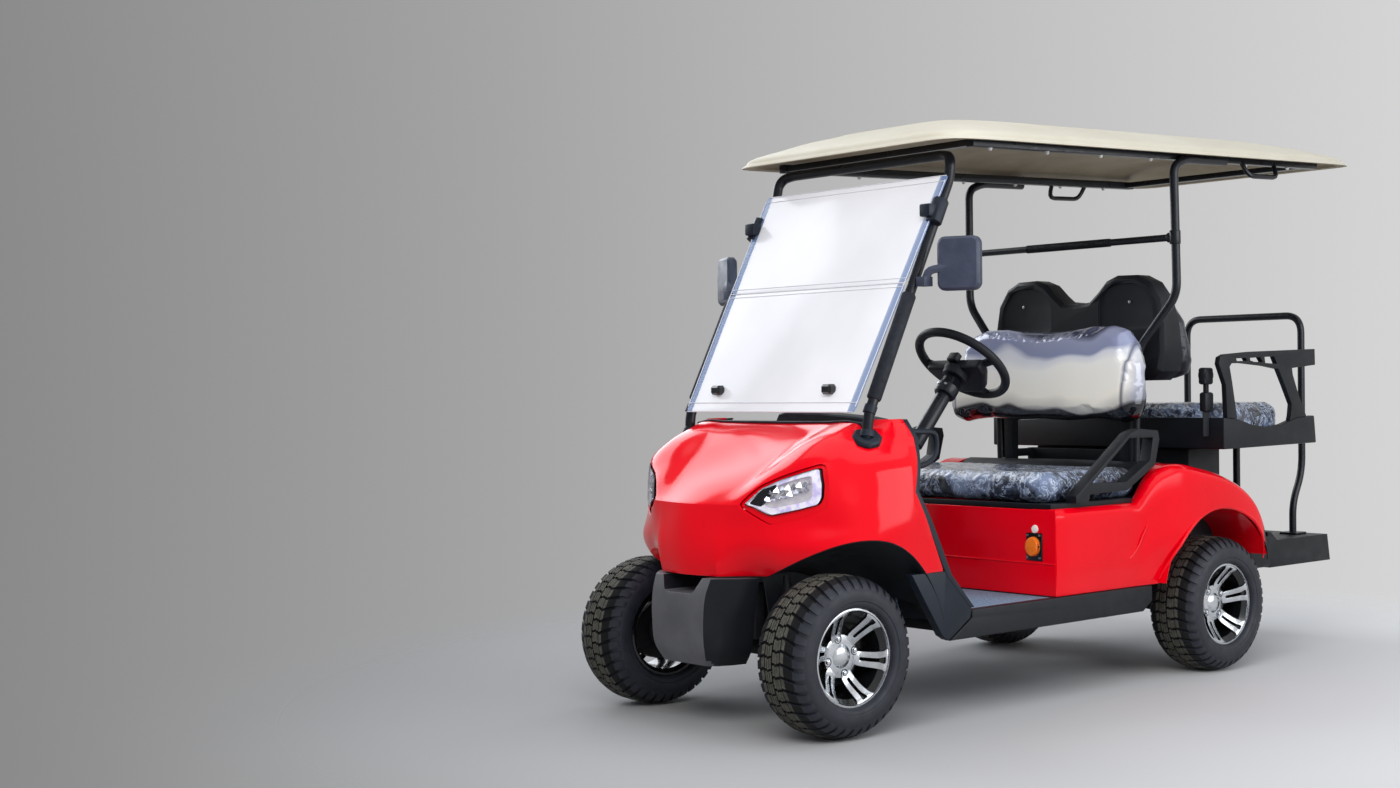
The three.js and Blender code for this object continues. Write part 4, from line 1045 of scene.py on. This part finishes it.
sleeve = tube("postSleeve_left", [onPost(z) for z in screen["sleeve"]], 21.5, sides=8,
              taper=[0.88, 1, 1, 1, 0.88])
both(sleeve, "chassis", foam, angle=50)
clamp = tube("postClamp_left", [onPost(z) for z in screen["clamp"]], 19, sides=8)
both(clamp, "chassis", blackWithPaintedSkySheen, angle=50)
out = Vector((12, -14, 0))
clipLow, clipHigh = screen["clip"]
clip = rod("screenClip_left", onPost(clipLow) + out, onPost(clipHigh) + out, 25, 25, sides=8, bevel=3)
clip = joined("screenClip_left", [clip, block("clipTongue", *screen["clipTongue"], 5)])
both(clip, "chassis", blackWithPaintedSkySheen, angle=30)
knobs = []
for x in (-screen["knobX"], screen["knobX"]):
    y = screenPlace(x, screen["knobZ"])[1]
    knobs.append(block("knob", x - 21, x + 21, y - 26, y + 6, 960, 990, 7, 1))
done(joined("screenKnobs", knobs), "chassis", blackEnamel, angle=25)
# Dark rubber edging along the rear edge of the hood
edging = tube("hoodEdging", bentLine(screen["edging"], 60, 6), 4.5, sides=4)
done(edging, "chassis", blackWithPaintedSkySheen)
print("windscreen ready")

# Bumper: a satin moulding with a scooped top, between the front wheels

bumperShape = {
    # z, then x, y of middle, front edge, bevel, corner and side
    "levels": [
        [188, (0, -196), (100, -196), (124, -172), (140, -140), (150, -92)],
        [230, (0, -216), (116, -216), (146, -180), (164, -140), (176, -92)],
        [310, (0, -224), (122, -224), (152, -182), (172, -140), (186, -92)],
        [400, (0, -218), (126, -216), (164, -170), (192, -130), (206, -92)],
        [440, (0, -204), (130, -202), (186, -150), (208, -118), (216, -92)],
    ],
    "scoop": [(-98, 450), (-66, 394), (66, 394), (98, 450)], "hollow": (-112, 112, -190, -80, 212, 380),
    "edge": 0.006,
}
rows = []
for z, *half in bumperShape["levels"]:
    ring = [(-x, y) for x, y in half[:0:-1]] + half
    rows.append([at(x, y, z) for x, y in ring + ring[:1]])
bumper = smoothSkin("frontBumper", rows, sharpAcross=(2, 3, 5, 6, 8))
mergeAndFaceOut(bumper)
capEnds(bumper)
scoop = plate("scoopCutter", "front", [roundedCorners(bumperShape["scoop"], 14)], -260, -60)
hollow = block("bumperHollow", *bumperShape["hollow"], bevel=0)
cutAway(bumper, scoop, hollow)
applyModifier(bumper, "BEVEL", width=bumperShape["edge"], segments=3, limit_method="ANGLE",
              angle_limit=math.radians(38))
done(bumper, "chassis", charcoalDustAndPaintedLight, "front_bumper", angle=32)
# Faces turned sideways or back are black, so the lit grey stays on the front: partly painted light
paintFaces(bumper, blackGrain, lambda face: abs(face.normal.x) > 0.62 or face.normal.y > 0.2)
print("bumper ready")

# Wheels: low-profile turf tyres on deep alloy rims with six pairs of spokes

tyre = {
    "radius": 229.5, "pitches": 40, "groove": 6.5,
    # outline of half the tyre: out from its middle, and from the axle
    "half": [(0, 223), (30, 221.5), (62, 214), (80, 205), (91, 195), (97, 184), (99, 172), (98.5, 160),
             (96, 157), (95, 149), (88, 141), (78, 139)],
    "tread": [(0, 229.5), (18, 229.3), (50, 225.5), (79, 213), (92.5, 198), (98.6, 182), (99.8, 168)],
    # centre blocks between sipes: from, to, and lean
    "blocks": ((2.5, 11, 2.5), (12.2, 20.7, 0), (21.9, 30, 2.5)),
    # shoulder lug, swept like a blade, well down the wall: lean, place across, share of pitch, height
    "shoulder": ((6, 33, 0.80, 0), (2, 46, 0.78, 0), (-3, 60, 0.74, 0), (-8, 74, 0.72, 0), (-12, 88, 0.70, 0),
                 (-13.5, 100, 0.66, -0.4), (-13.5, 110, 0.60, -2.2), (-13, 118, 0.5, -4.6)),
}
tyreLine = [(-x, r) for x, r in tyre["half"][:0:-1]] + tyre["half"]
treadLine = curved([Vector(p) for p in tyre["tread"]], (), 6)


def treadPlace(u, v, h):  # distance round the tread, across it along its curve, and height over it, in mm
    side, reach = math.copysign(1, v), abs(v)
    for first, second in zip(treadLine, treadLine[1:]):
        length = (second - first).length
        if reach <= length or second is treadLine[-1]:
            break
        reach -= length
    heading = (second - first).normalized()
    spot = first + heading * reach + Vector((-heading.y, heading.x)) * h
    angle = u / tyre["radius"]
    return Vector((side * spot.x / 1000, spot.y * math.sin(angle) / 1000, spot.y * math.cos(angle) / 1000))


def lug(path):  # a bar of tread along points of (u, v, width, height)
    rows = []
    for i, (u, v, width, height) in enumerate(path):
        half, foot = width / 2, -tyre["groove"]
        top = height - (1.2 if i in (0, len(path) - 1) else 0)
        section = [(-half, foot), (-half + 0.9, top), (half - 0.9, top), (half, foot)]
        rows.append([treadPlace(u + a, v, b) for a, b in section])
    return capEnds(skin("lug", rows))


pitch = 2 * math.pi * tyre["radius"] / tyre["pitches"]
treadSet = []
for side, bow in ((-1, 0), (1, pitch / 2)):
    for v0, v1, lean in tyre["blocks"]:
        ends = ((v0, 0), (v1, -0.3))
        treadSet.append(lug([(bow + lean, side * v, pitch * 0.82, height) for v, height in ends]))
    blade = [(bow + lean, side * v, pitch * share, height) for lean, v, share, height in tyre["shoulder"]]
    treadSet.append(lug(blade))
treadPitch = joined("treadPitch", treadSet)
turnsOfTread = []
for i in range(tyre["pitches"]):
    twin = copyOf(treadPitch)
    turnsOfTread.append(moveMesh(twin, Matrix.Rotation(2 * math.pi * i / tyre["pitches"], 4, "X")))
bpy.data.objects.remove(treadPitch)
tread = joined("tread", turnsOfTread)
carcass = turned("carcass", [tuple(p) for p in curved([Vector(p) for p in tyreLine], (3, 4, 18, 19), 2)], 96)
wholeTyre = joined("tyreModel", [carcass, tread])
smooth(wholeTyre, 32)


def fromAxle(face):
    return (face.center.y ** 2 + face.center.z ** 2) ** 0.5


wholeTyre.data.materials.clear()
wholeTyre.data.materials.append(tyreRubber)
paintFaces(wholeTyre, grooveBlack, lambda face: fromAxle(face) > 0.2065 and abs(face.normal.x) < 0.5
           and face.area > 1.2e-4)
paintFaces(wholeTyre, treadRubber, lambda face: fromAxle(face) > 0.2245 and abs(face.center.x) < 0.056)

rim = {
    "pairs": 6, "bolts": 4, "boltCircle": 50.8, "boltTurn": 22, "spokeDeep": 13,
    # distance from the axle, then how far out the spoke's face stands
    "dish": [(30, 26), (52, 27.5), (66, 31), (88, 45), (108, 62), (126, 78), (134, 79.5)],
    "pair": [(-15, 36), (-20, 62), (-22.5, 100), (-26, 118), (-33, 125), (-33, 133)],
    "slot": [(-4.6, 66), (-5.4, 112), (-9, 119), (-9, 125)],
    # turned parts: out from the wheel's middle, and radius
    "barrel": [(-78, 137), (-66, 127.6), (66, 127.6), (76, 133), (78, 138.5), (81, 138.5), (82, 136),
               (82, 132), (79, 130.5), (74, 130), (60, 116), (-70, 118), (-82, 130), (-82, 137), (-78, 137)],
    "hub": [(10, 0), (10, 58), (22, 61), (25.5, 60), (27, 56), (27, 30), (27, 0)],
    "cap": [(24, 0), (24, 33), (27, 33.5), (29, 31), (32, 28), (35, 22), (37, 12), (38, 0)],
    "cup": [(14, 13), (27.6, 13), (28.4, 12), (28.4, 11), (27.6, 10.6), (16, 10.6), (16, 0)],
    "drum": [(-34, 0), (-34, 88), (-2, 88), (4, 84), (6, 76), (6, 0)],
}
dishLine = curved([Vector(p) for p in rim["dish"]], (), 5)


def dish(r):
    for first, second in zip(dishLine, dishLine[1:]):
        if r <= second.x:
            break
    share = min(max((r - first.x) / (second.x - first.x), 0), 1)
    return first.y + (second.y - first.y) * share - rim["spokeDeep"]


spokes = []
for i in range(rim["pairs"]):
    outlines = [roundedCorners([(frontAxle + a, b) for a, b in evenOutline(rim[half])], radius, 3)
                for half, radius in (("pair", 4), ("slot", 3))]
    pair = plate("spokePair", "side", outlines, 0, rim["spokeDeep"], 1.2, 2)
    pick(pair)
    bpy.ops.object.mode_set(mode="EDIT")
    for station in range(36, 134, 6):
        bpy.ops.mesh.select_all(action="SELECT")
        bpy.ops.mesh.bisect(plane_co=(0, 0, station / 1000), plane_no=(0, 0, 1))
    bpy.ops.object.mode_set(mode="OBJECT")
    for corner in pair.data.vertices:
        corner.co.x += dish(corner.co.z * 1000) / 1000
        bow = (corner.co.z * 1000 - 84) / 50
        corner.co.y += 0.0035 * (1 - bow * bow)
    moveMesh(pair, Matrix.Rotation(2 * math.pi * i / rim["pairs"] - math.radians(90), 4, "X"))
    spokes.append(pair)
spokes = joined("spokes", spokes)
hub = turned("hub", rim["hub"], 60)
cap = turned("cap", rim["cap"], 48)
barrel = turned("barrel", rim["barrel"], 96)
cups, nuts = [], []
for i in range(rim["bolts"]):
    angle = 2 * math.pi * i / rim["bolts"] + math.radians(rim["boltTurn"])
    y, z = rim["boltCircle"] * math.cos(angle), rim["boltCircle"] * math.sin(angle)
    aside = Matrix.Translation((0, y / 1000, z / 1000))
    cups.append(moveMesh(turned("cup", rim["cup"], 24), aside))
    nut = rod("nut", (14, frontAxle, 0), (33, frontAxle, 0), 8.2, 7.4, sides=6, bevel=1.4)
    nuts.append(moveMesh(nut, aside))
cups, nuts = joined("cups", cups), joined("nuts", nuts)
drum = turned("brakeDrum", rim["drum"], 48)
for piece, material in ((spokes, brightAlloy), (hub, brightAlloy), (cap, brightAlloy), (barrel, blackEnamel),
                        (cups, blackEnamel), (nuts, chrome), (drum, chassisSteel)):
    smooth(piece, 32)
    piece.data.materials.clear()
    piece.data.materials.append(material)
paintFaces(spokes, blackEnamel, lambda face: face.normal.x < 0.3)
paintFaces(barrel, brightAlloy, lambda face: face.center.x > 0.0755 and fromAxle(face) > 0.130)
wholeRim = joined("rimModel", [barrel, spokes, hub, cap, cups, nuts, drum])
wheelPlaces = {
    # x, y, which way the outside faces, and how far the spokes are turned
    "front_left": (430, 0, 0, -9), "front_right": (-430, 0, 180, -9),
    "rear_left": (484.5, 1653, 0, 14), "rear_right": (-484.5, 1653, 180, 14),
}
for where, (x, y, facing, spin) in wheelPlaces.items():
    body = "wheel_" + where
    spot = Matrix.Translation(at(x, y, tyre["radius"])) @ Matrix.Rotation(math.radians(facing), 4, "Z")
    tyrePiece = moveMesh(copyOf(wholeTyre, "tyre_" + where + "_dressed"), spot)
    done(tyrePiece, body, None, "tyre_" + where, angle=32)
    spun = spot @ Matrix.Rotation(math.radians(spin), 4, "X")
    rimPiece = moveMesh(copyOf(wholeRim, "rim_" + where + "_dressed"), spun)
    done(rimPiece, body, None, "rim_" + where, angle=32)
for model in (wholeTyre, wholeRim):
    bpy.data.objects.remove(model)
print("wheels ready")

# Seats: cushions under clear wrapping film

cushions = {
    # node: body, voxel in mm, pressure, how far a point may move in mm, edge radius in mm
    "front_cushion": ("front_seat_lid", 7, 4, 16, 18),
    "front_backrest": ("chassis", 7, 4, 18, 22),
    "rear_cushion": ("chassis", 7, 4, 14, 18),
    "rear_backrest": ("chassis", 7, 4, 14, 20),
}


def crumple(piece, scale, depth, seed):  # sharp little folds pushed along the normals
    shift = Vector((seed * 3.1, seed * 1.7, seed * 0.9))
    for corner in piece.data.vertices:
        spot = corner.co * (1000 / scale) + shift
        fold = 1 - abs(noise.noise(spot)) * 2.4
        fine = 1 - abs(noise.noise(spot * 2.3)) * 2.4
        corner.co += corner.normal * (max(fold, 0) ** 2 * 0.7 + max(fine, 0) ** 2 * 0.3) * depth / 1000
    piece.data.update()


def puffed(node, voxel, pressure, reach, bevel):
    pad = shapedNode(node, bevel, 3, 40)
    pad.name = pad.data.name = node + "_pad"
    low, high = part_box(node)
    middle = (low + high) / 2
    shares = [1 - 0.012 / width for width in high - low]
    shrink = Matrix.Diagonal((*shares, 1))
    moveMesh(pad, Matrix.Translation(middle) @ shrink @ Matrix.Translation(-middle))
    applyModifier(pad, "REMESH", mode="VOXEL", voxel_size=voxel / 1000, adaptivity=0)
    before = [corner.co.copy() for corner in pad.data.vertices]
    pick(pad)
    cloth = pad.modifiers.new("Cloth", "CLOTH")
    cloth.settings.use_pressure = True
    cloth.settings.uniform_pressure_force = pressure
    cloth.settings.effector_weights.gravity = 0
    cloth.settings.quality = 4
    for step in range(1, 21):
        bpy.context.scene.frame_set(step)
    bpy.ops.object.modifier_apply(modifier="Cloth")
    bpy.context.scene.frame_set(1)
    for corner, start in zip(pad.data.vertices, before):
        move = corner.co - start
        if move.length > reach / 1000:
            corner.co = start + move.normalized() * reach / 1000
        corner.co.x = min(max(corner.co.x, low.x), high.x)
        corner.co.y = min(max(corner.co.y, low.y - 0.002), high.y + 0.002)
        corner.co.z = min(max(corner.co.z, low.z), high.z + 0.004)
    pad.data.update()
    return pad


# Navy vinyl under loose clear film, with painted highlights: fine white-blue streaks where the film creases,
# every 60 mm or so, over broad patches of painted sheen about 170 mm across
vinylWithPaintedFilmHighlights, tree, shader = newMaterial("filmOverNavyVinyl", Roughness=0.3, Coat_Weight=1.0,
                                         Coat_Roughness=0.05)
place = addNode(tree, "ShaderNodeTexCoord").outputs["Object"]
stretch = addNode(tree, "ShaderNodeMapping", {"Scale": (1.0, 1.7, 1.2), "Rotation": (0, 0, 0.5)},
                  {"Vector": place})
folds = addNode(tree, "ShaderNodeTexNoise",
                {"Scale": 1000 / 58.8235, "Detail": 8.0, "Roughness": 0.66, "Distortion": 1.2},
                {"Vector": stretch.outputs["Vector"]})
centred = addNode(tree, "ShaderNodeMath", {"operation": "SUBTRACT", 1: 0.5}, {0: folds.outputs["Fac"]})
ridge = addNode(tree, "ShaderNodeMath", {"operation": "ABSOLUTE"}, {0: centred.outputs["Value"]})
# Painted highlights along the creases
tones = addNode(tree, "ShaderNodeValToRGB", links={"Fac": ridge.outputs["Value"]},
                stops=[(0.0, "#ccd6e8"), (0.012, "#76859f"), (0.035, "#2a3347"), (0.1, "#10141f")])
broad = addNode(tree, "ShaderNodeTexNoise",
                {"Scale": 1000 / 166.667, "Detail": 4.0, "Roughness": 0.6, "Distortion": 1.0},
                {"Vector": stretch.outputs["Vector"]})
sheen = addNode(tree, "ShaderNodeValToRGB", links={"Fac": broad.outputs["Fac"]},
                stops=[(0.46, "#05070c"), (0.62, "#7d8cab")])
lit = addNode(tree, "ShaderNodeMix", {"data_type": "RGBA", "blend_type": "SCREEN", 0: 0.85},
              {6: tones.outputs["Color"], 7: sheen.outputs["Color"]})
tree.links.new(lit.outputs[2], shader.inputs["Base Color"])
bump = addNode(tree, "ShaderNodeBump", {"Strength": 0.8, "Distance": 0.005}, {"Height": folds.outputs["Fac"]})
for socket in ("Normal", "Coat Normal"):
    tree.links.new(bump.outputs["Normal"], shader.inputs[socket])
# Film stretched over the backrest, in painted reflections: cream sheen across the middle, blue-grey waves
# above, black along the foot
filmWithPaintedReflections, tree, shader = newMaterial("stretchedClearFilm", Metallic=0.1, Roughness=0.14, Coat_Weight=0.6,
                                          Coat_Roughness=0.09)
place = addNode(tree, "ShaderNodeTexCoord").outputs["Object"]
ripple = addNode(tree, "ShaderNodeTexNoise",
                 {"Scale": 1000 / 312.5, "Detail": 1.0, "Roughness": 0.4, "Distortion": 0.4},
                 {"Vector": place})
low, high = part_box("front_backrest")
axes = addNode(tree, "ShaderNodeSeparateXYZ", links={"Vector": place})
height = addNode(tree, "ShaderNodeMapRange", {"From Min": low.z, "From Max": high.z},
                 {"Value": axes.outputs["Z"]})
wave = addNode(tree, "ShaderNodeMath", {"operation": "MULTIPLY_ADD", 1: 0.6, 2: -0.3},
               {0: ripple.outputs["Fac"]})
level = addNode(tree, "ShaderNodeMath", {"operation": "ADD"},
                {0: height.outputs["Result"], 1: wave.outputs["Value"]})
# Painted reflections in bands from the foot to the top
tones = addNode(tree, "ShaderNodeValToRGB", links={"Fac": level.outputs["Value"]}, stops=[
    (0.10, "#0e0f14"), (0.17, "#22232a"), (0.2, "#cfccc4"), (0.32, "#f6f1e4"), (0.6, "#f8f6f0"),
    (0.68, "#dfe0e8"), (0.72, "#8a91b0"), (0.84, "#9499b4"), (0.9, "#3a3e55"), (1.0, "#5a5f78")])
outward = addNode(tree, "ShaderNodeMath", {"operation": "ABSOLUTE"}, {0: axes.outputs["X"]})
toSide = addNode(tree, "ShaderNodeMapRange", {"From Min": 0.30, "From Max": 0.46},
                 {"Value": outward.outputs["Value"]})
# Painted reflections change again towards the sides
sideTones = addNode(tree, "ShaderNodeValToRGB", links={"Fac": toSide.outputs["Result"]}, stops=[
    (0.5, "#ffffff"), (0.56, "#70758c"), (0.62, "#e9e9ee"), (0.8, "#a9aec4"), (1.0, "#3b4057")])
filmTones = addNode(tree, "ShaderNodeMix", {"data_type": "RGBA", "blend_type": "MULTIPLY", 0: 1.0},
                    {6: tones.outputs["Color"], 7: sideTones.outputs["Color"]})
tree.links.new(filmTones.outputs[2], shader.inputs["Base Color"])
fine = addNode(tree, "ShaderNodeTexNoise", {"Scale": 1000 / 111.111, "Detail": 2.0, "Roughness": 0.4},
               {"Vector": place})
bump = addNode(tree, "ShaderNodeBump", {"Strength": 0.35, "Distance": 0.008}, {"Height": fine.outputs["Fac"]})
for socket in ("Normal", "Coat Normal"):
    tree.links.new(bump.outputs["Normal"], shader.inputs[socket])
covers = {"front_cushion": vinylWithPaintedFilmHighlights, "front_backrest": filmWithPaintedReflections, "rear_cushion": vinylWithPaintedFilmHighlights,
          "rear_backrest": darkVinyl}
for node, (body, voxel, pressure, reach, bevel) in cushions.items():
    pad = puffed(node, voxel, pressure, reach, bevel)
    if covers[node] is vinylWithPaintedFilmHighlights:
        crumple(pad, 38, 3.5, 2)
    applyModifier(pad, "SUBSURF", levels=1, render_levels=1)
    done(pad, body, covers[node], node, angle=180)
print("seats ready")

# Steering wheel and column, in mm along and across the column's own axes

steering = {
    "place": (220, 733, 1052), "lean": -40, "ringRadius": 152, "gripRadius": 14.5,
    "spokes": (-4, 90, 184), "spokeRadius": 15,
    "spokeLine": ((24, -30), (50, -26), (90, -16), (126, -4), (148, 0)),  # out from the hub, and height
    "pad": [(118, -30), (108, 16), (46, 96)], "horn": [(66, -14), (28, 56)],
    "tongue": (-20, 20, -50, -28, -24, 6), "tube": (-330, -120, 24), "shaft": (-748, -326, 17),
    "boot": (-748, -700, 48, 24), "screws": (-60, -105),
    "collar": [(-132, 24), (-130, 33), (-124, 36), (-98, 36), (-94, 33), (-72, 32), (-68, 29), (-68, 0)],
}
column = Matrix.Translation(at(*steering["place"])) @ Matrix.Rotation(math.radians(steering["lean"]), 4, "X")
originY = frontAxle / 1000


def onColumn(piece):  # from the column's own axes, made round the frame's origin
    return moveMesh(piece, column @ Matrix.Translation((0, originY, 0)))


clearSelection()
bpy.ops.mesh.primitive_torus_add(major_radius=steering["ringRadius"] / 1000, major_segments=72,
                                 minor_radius=steering["gripRadius"] / 1000, minor_segments=20)
parts = [moveMesh(named("wheelRing"), Matrix.Translation((0, -originY, 0)))]
for angle in steering["spokes"]:
    direction = Vector((math.cos(math.radians(angle)), math.sin(math.radians(angle)), 0))
    line = [direction * r + Vector((0, 0, z)) for r, z in steering["spokeLine"]]
    spoke = tube("spoke", [tuple(p) for p in curved(line, (), 5)], steering["spokeRadius"], 6)
    for corner in spoke.data.vertices:  # flattened to about half its height over the rising line
        local = corner.co + Vector((0, originY, 0))
        along = min(max((local.dot(direction) - 0.024) / 0.12, 0), 1)
        corner.co.z = local.z - (local.z + 0.028 - 0.030 * along) * 0.45
    parts.append(spoke)
parts.append(plate("hubPad", "plan", [roundedCorners(evenOutline(steering["pad"]), 16)], -42, -6, 9, 4))
parts.append(plate("hornPad", "plan", [roundedCorners(evenOutline(steering["horn"]), 12)], -10, -1.5, 3, 3))
parts.append(rod("boss", (0, 0, -62), (0, 0, -34), 40, 46, bevel=3))
parts.append(block("padTongue", *steering["tongue"], 4))
wheel = onColumn(joined("steeringWheel", parts))
done(wheel, "steering_wheel", blackGrain, "steering_wheel")
parts = []
for name, bevel in (("tube", 1), ("shaft", 1), ("boot", 3)):
    low, high, *radii = steering[name]
    parts.append(rod(name, (0, 0, low), (0, 0, high), *radii, bevel=bevel))
collar = turned("collar", steering["collar"], 48)
moveMesh(collar, Matrix.Translation((0, -originY, 0)) @ Matrix.Rotation(math.radians(-90), 4, "Y"))
columnPiece = onColumn(joined("steeringColumn", [*parts, collar]))
done(columnPiece, "chassis", blackTube, "steering_column")
screws = []
for angle in steering["screws"]:
    c, s = math.cos(math.radians(angle)), math.sin(math.radians(angle))
    screws.append(rod("screw", (34 * c, 34 * s, -108), (39.5 * c, 39.5 * s, -108), 4.5, bevel=1))
done(onColumn(joined("columnScrews", screws)), "chassis", zinc)
print("steering ready")

# Mirrors, pedals and other fittings keep their solids, with softened edges

softened = (
    # finish, edge radius in mm, nodes
    (blackWithPaintedSkySheen, 3, ("side_trim_left", "side_trim_right")), (blackWithPaintedSkySheen, 4, ("dash",)),
    (blackGrain, 4, ("sill_left", "sill_right")), (blackGrain, 3, ("seat_base",)),
    (blackGrain, 5, ("rear_tray",)), (blackGrain, 4, ("rear_armrest_left", "rear_armrest_right")),
    (blackGrain, 8, ("hip_restraint_left", "hip_restraint_right")), (blackGrain, 5, ("rear_step",)),
    (blackGrain, 6, ("rear_seat_box", "battery_pack")), (blackGrain, 8, ("backrest_shell",)),
    (chassisSteel, 2, ("frame_rails", "front_axle_beam", "rear_axle", "knuckle_left", "knuckle_right")),
    (chassisSteel, 1.5, ("tie_rod",)), (chassisSteel, 3, ("pedals",)),
    (matGrey, 1.5, ("floor_pan",)), (slateWithPaintedSkySheen, 6, ("door_mirror_left", "door_mirror_right")),
    (blackEnamel, 1.5, ("charge_socket",)),
)
moving = {"seat_base": "front_seat_lid", "knuckle_left": "knuckle_left", "knuckle_right": "knuckle_right",
          "tie_rod": "tie_rod"}
shellEar = [(112, 1272), (146, 1316), (192, 1334), (276, 1332), (316, 1312), (350, 1262), (362, 1170),
            (112, 1170)]
for material, bevel, nodes in softened:
    for name in nodes:
        piece = shapedNode(name, bevel, 3 if bevel > 3 else 2)
        if name == "backrest_shell":
            panel = plate("earPanel", "front", [roundedCorners(shellEar, 22)], 1500, 1536, 3, 3)
            cutAway(piece, panel, mirrored(panel))
        done(piece, moving.get(name, "chassis"), material, name)
        if name == "floor_pan":  # the toe board's faces that turn towards the wheels are painted black
            paintFaces(piece, blackGrain, lambda face: face.normal.y < -0.3)

# Walls between the footwell and the front wheels: height, y at the toe board, between, and at the edge strip
footwell = {
    "x": (374, 440, 500), "thick": 3,
    "levels": [(312, 306, 330, 440), (432, 274, 290, 355), (530, 245, 262, 306), (600, 224, 240, 268)],
}
rows = [[at(x, y, z) for x, y in zip(footwell["x"], places)] for z, *places in footwell["levels"]]
well = faceTowards(smoothSkin("footwellWall_left", rows, stepsAcross=4, stepsAlong=3), Vector((0, 1, 0)))
applyModifier(well, "SOLIDIFY", thickness=footwell["thick"] / 1000, offset=0)
both(well, "chassis", blackGrain)

# Small fittings: place and size of each in mm
fittings = {
    "crease": [(524, 836, 420), (525.5, 1033, 418), (527, 1188, 416), (531, 1222, 452), (538, 1262, 520)],
    "frontCrease": [(-523, 829.5, 424), (0, 829.5, 425), (523, 829.5, 424)], "creaseRadius": 3.2,
    "socketMiddle": (435, 477), "capStretch": (0.98, 1, 1.16, 1), "screwReach": (25, 35),
    "button": (438, 531), "belt": (486, 1654), "boltX": 440,
    "roofBolts": (640, 900, 1160, 1420, 1700, 1960, 2220), "shellScrew": (250, 1268),
    "wrapFrom": -190, "wrapPitch": 8.5, "wrapTurns": 46,
}
# Swage line round the seat box, rising to the hip
line = bentLine(fittings["crease"], 30, 5)
crease = tube("crease", line, fittings["creaseRadius"], sides=4, taper=[0.3] + [1] * (len(line) - 2) + [0.2])
frontCrease = tube("crease", fittings["frontCrease"], fittings["creaseRadius"], sides=4)
done(joined("boxCreases", [crease, mirrored(crease), frontCrease]), "chassis", glossRed)

# Charging socket: orange cap on a black plate with four screws, and a pale button over it
x, z = fittings["socketMiddle"]
cap = rod("socketCap", (x, 828, z), (x, 810, z), 27, 25, bevel=3)
stretch = Matrix.Diagonal(fittings["capStretch"])
moveMesh(cap, Matrix.Translation(at(x, 0, z)) @ stretch @ Matrix.Translation(-at(x, 0, z)))
done(cap, "chassis", orangeCap)
aside, up = fittings["screwReach"]
screws = [rod("screw", (a, 828, b), (a, 821.5, b), 3.6, sides=12, bevel=0.8)
          for a in (x - aside, x + aside) for b in (z - up, z + up)]
done(joined("socketScrews", screws), "chassis", zinc)
x, z = fittings["button"]
button = rod("boxButton", (x, 832, z), (x, 823.5, z), 14, 12, bevel=2)
done(button, "chassis", paleButton)

# Rear belt: retractor, strap and buckle beside the seat
x, y = fittings["belt"]
parts = [block("retractor", x - 15, x + 15, y - 26, y + 26, 978, 1036, 8),
         rod("retractorSpool", (x - 17, y, 1010), (x + 17, y, 1010), 23, bevel=3),
         block("buckle", x - 15, x + 15, y - 22, y + 28, 884, 952, 9),
         block("buckleTongue", x - 6, x + 6, y - 8, y + 8, 950, 992, 3)]
done(joined("rearBeltBuckle", parts), "chassis", blackGrain)
strap = block("rearBeltStrap", x - 2, x + 2, y - 18, y + 14, 800, 905, 1)
strapTop = block("rearBeltLoop", x - 8, x - 5, y - 6, y + 24, 880, 1034, 1)
done(joined("rearBeltStrap", [strap, strapTop]), "chassis", webbing)

# Bolts under the roof rails, clamps where the crossbar meets the posts, a spiral wrap round the bar
bolts, clamps = [], []
for side in (-1, 1):
    for y in fittings["roofBolts"]:
        x, z = side * fittings["boltX"], roofZ(y) - 12
        bolts.append(rod("roofBolt", (x, y, z), (x, y, z - 9), 8, 5, sides=12, bevel=1.2))
    clamps.append(rod("barClamp", (side * (barX - 29), barY, barZ), (side * barX, barY, barZ), 17, bevel=2))
    foot, head = (side * (barX + 0.5), barY - 1, barZ - 23), (side * barX, barY - 1, barZ + 23)
    clamps.append(rod("postClamp", foot, head, 19, bevel=2))
done(joined("roofBolts", bolts), "chassis", paleButton)
done(joined("barClamps", clamps), "chassis", blackTube)
wrap = []
for i in range(fittings["wrapTurns"]):
    x = fittings["wrapFrom"] + i * fittings["wrapPitch"]
    wrap.append(rod("wrapTurn", (x, barY, barZ), (x + 6, barY, barZ), 14.6, sides=20, bevel=1.4))
done(joined("barWrap", wrap), "chassis", blackGrain)
screwX, screwZ = fittings["shellScrew"]
screws = [rod("shellScrew", (x, 1538, screwZ), (x, 1532.5, screwZ), 6, sides=20, bevel=1.5)
          for x in (-screwX, screwX)]
done(joined("shellScrews", screws), "chassis", zinc)
print("fittings ready")
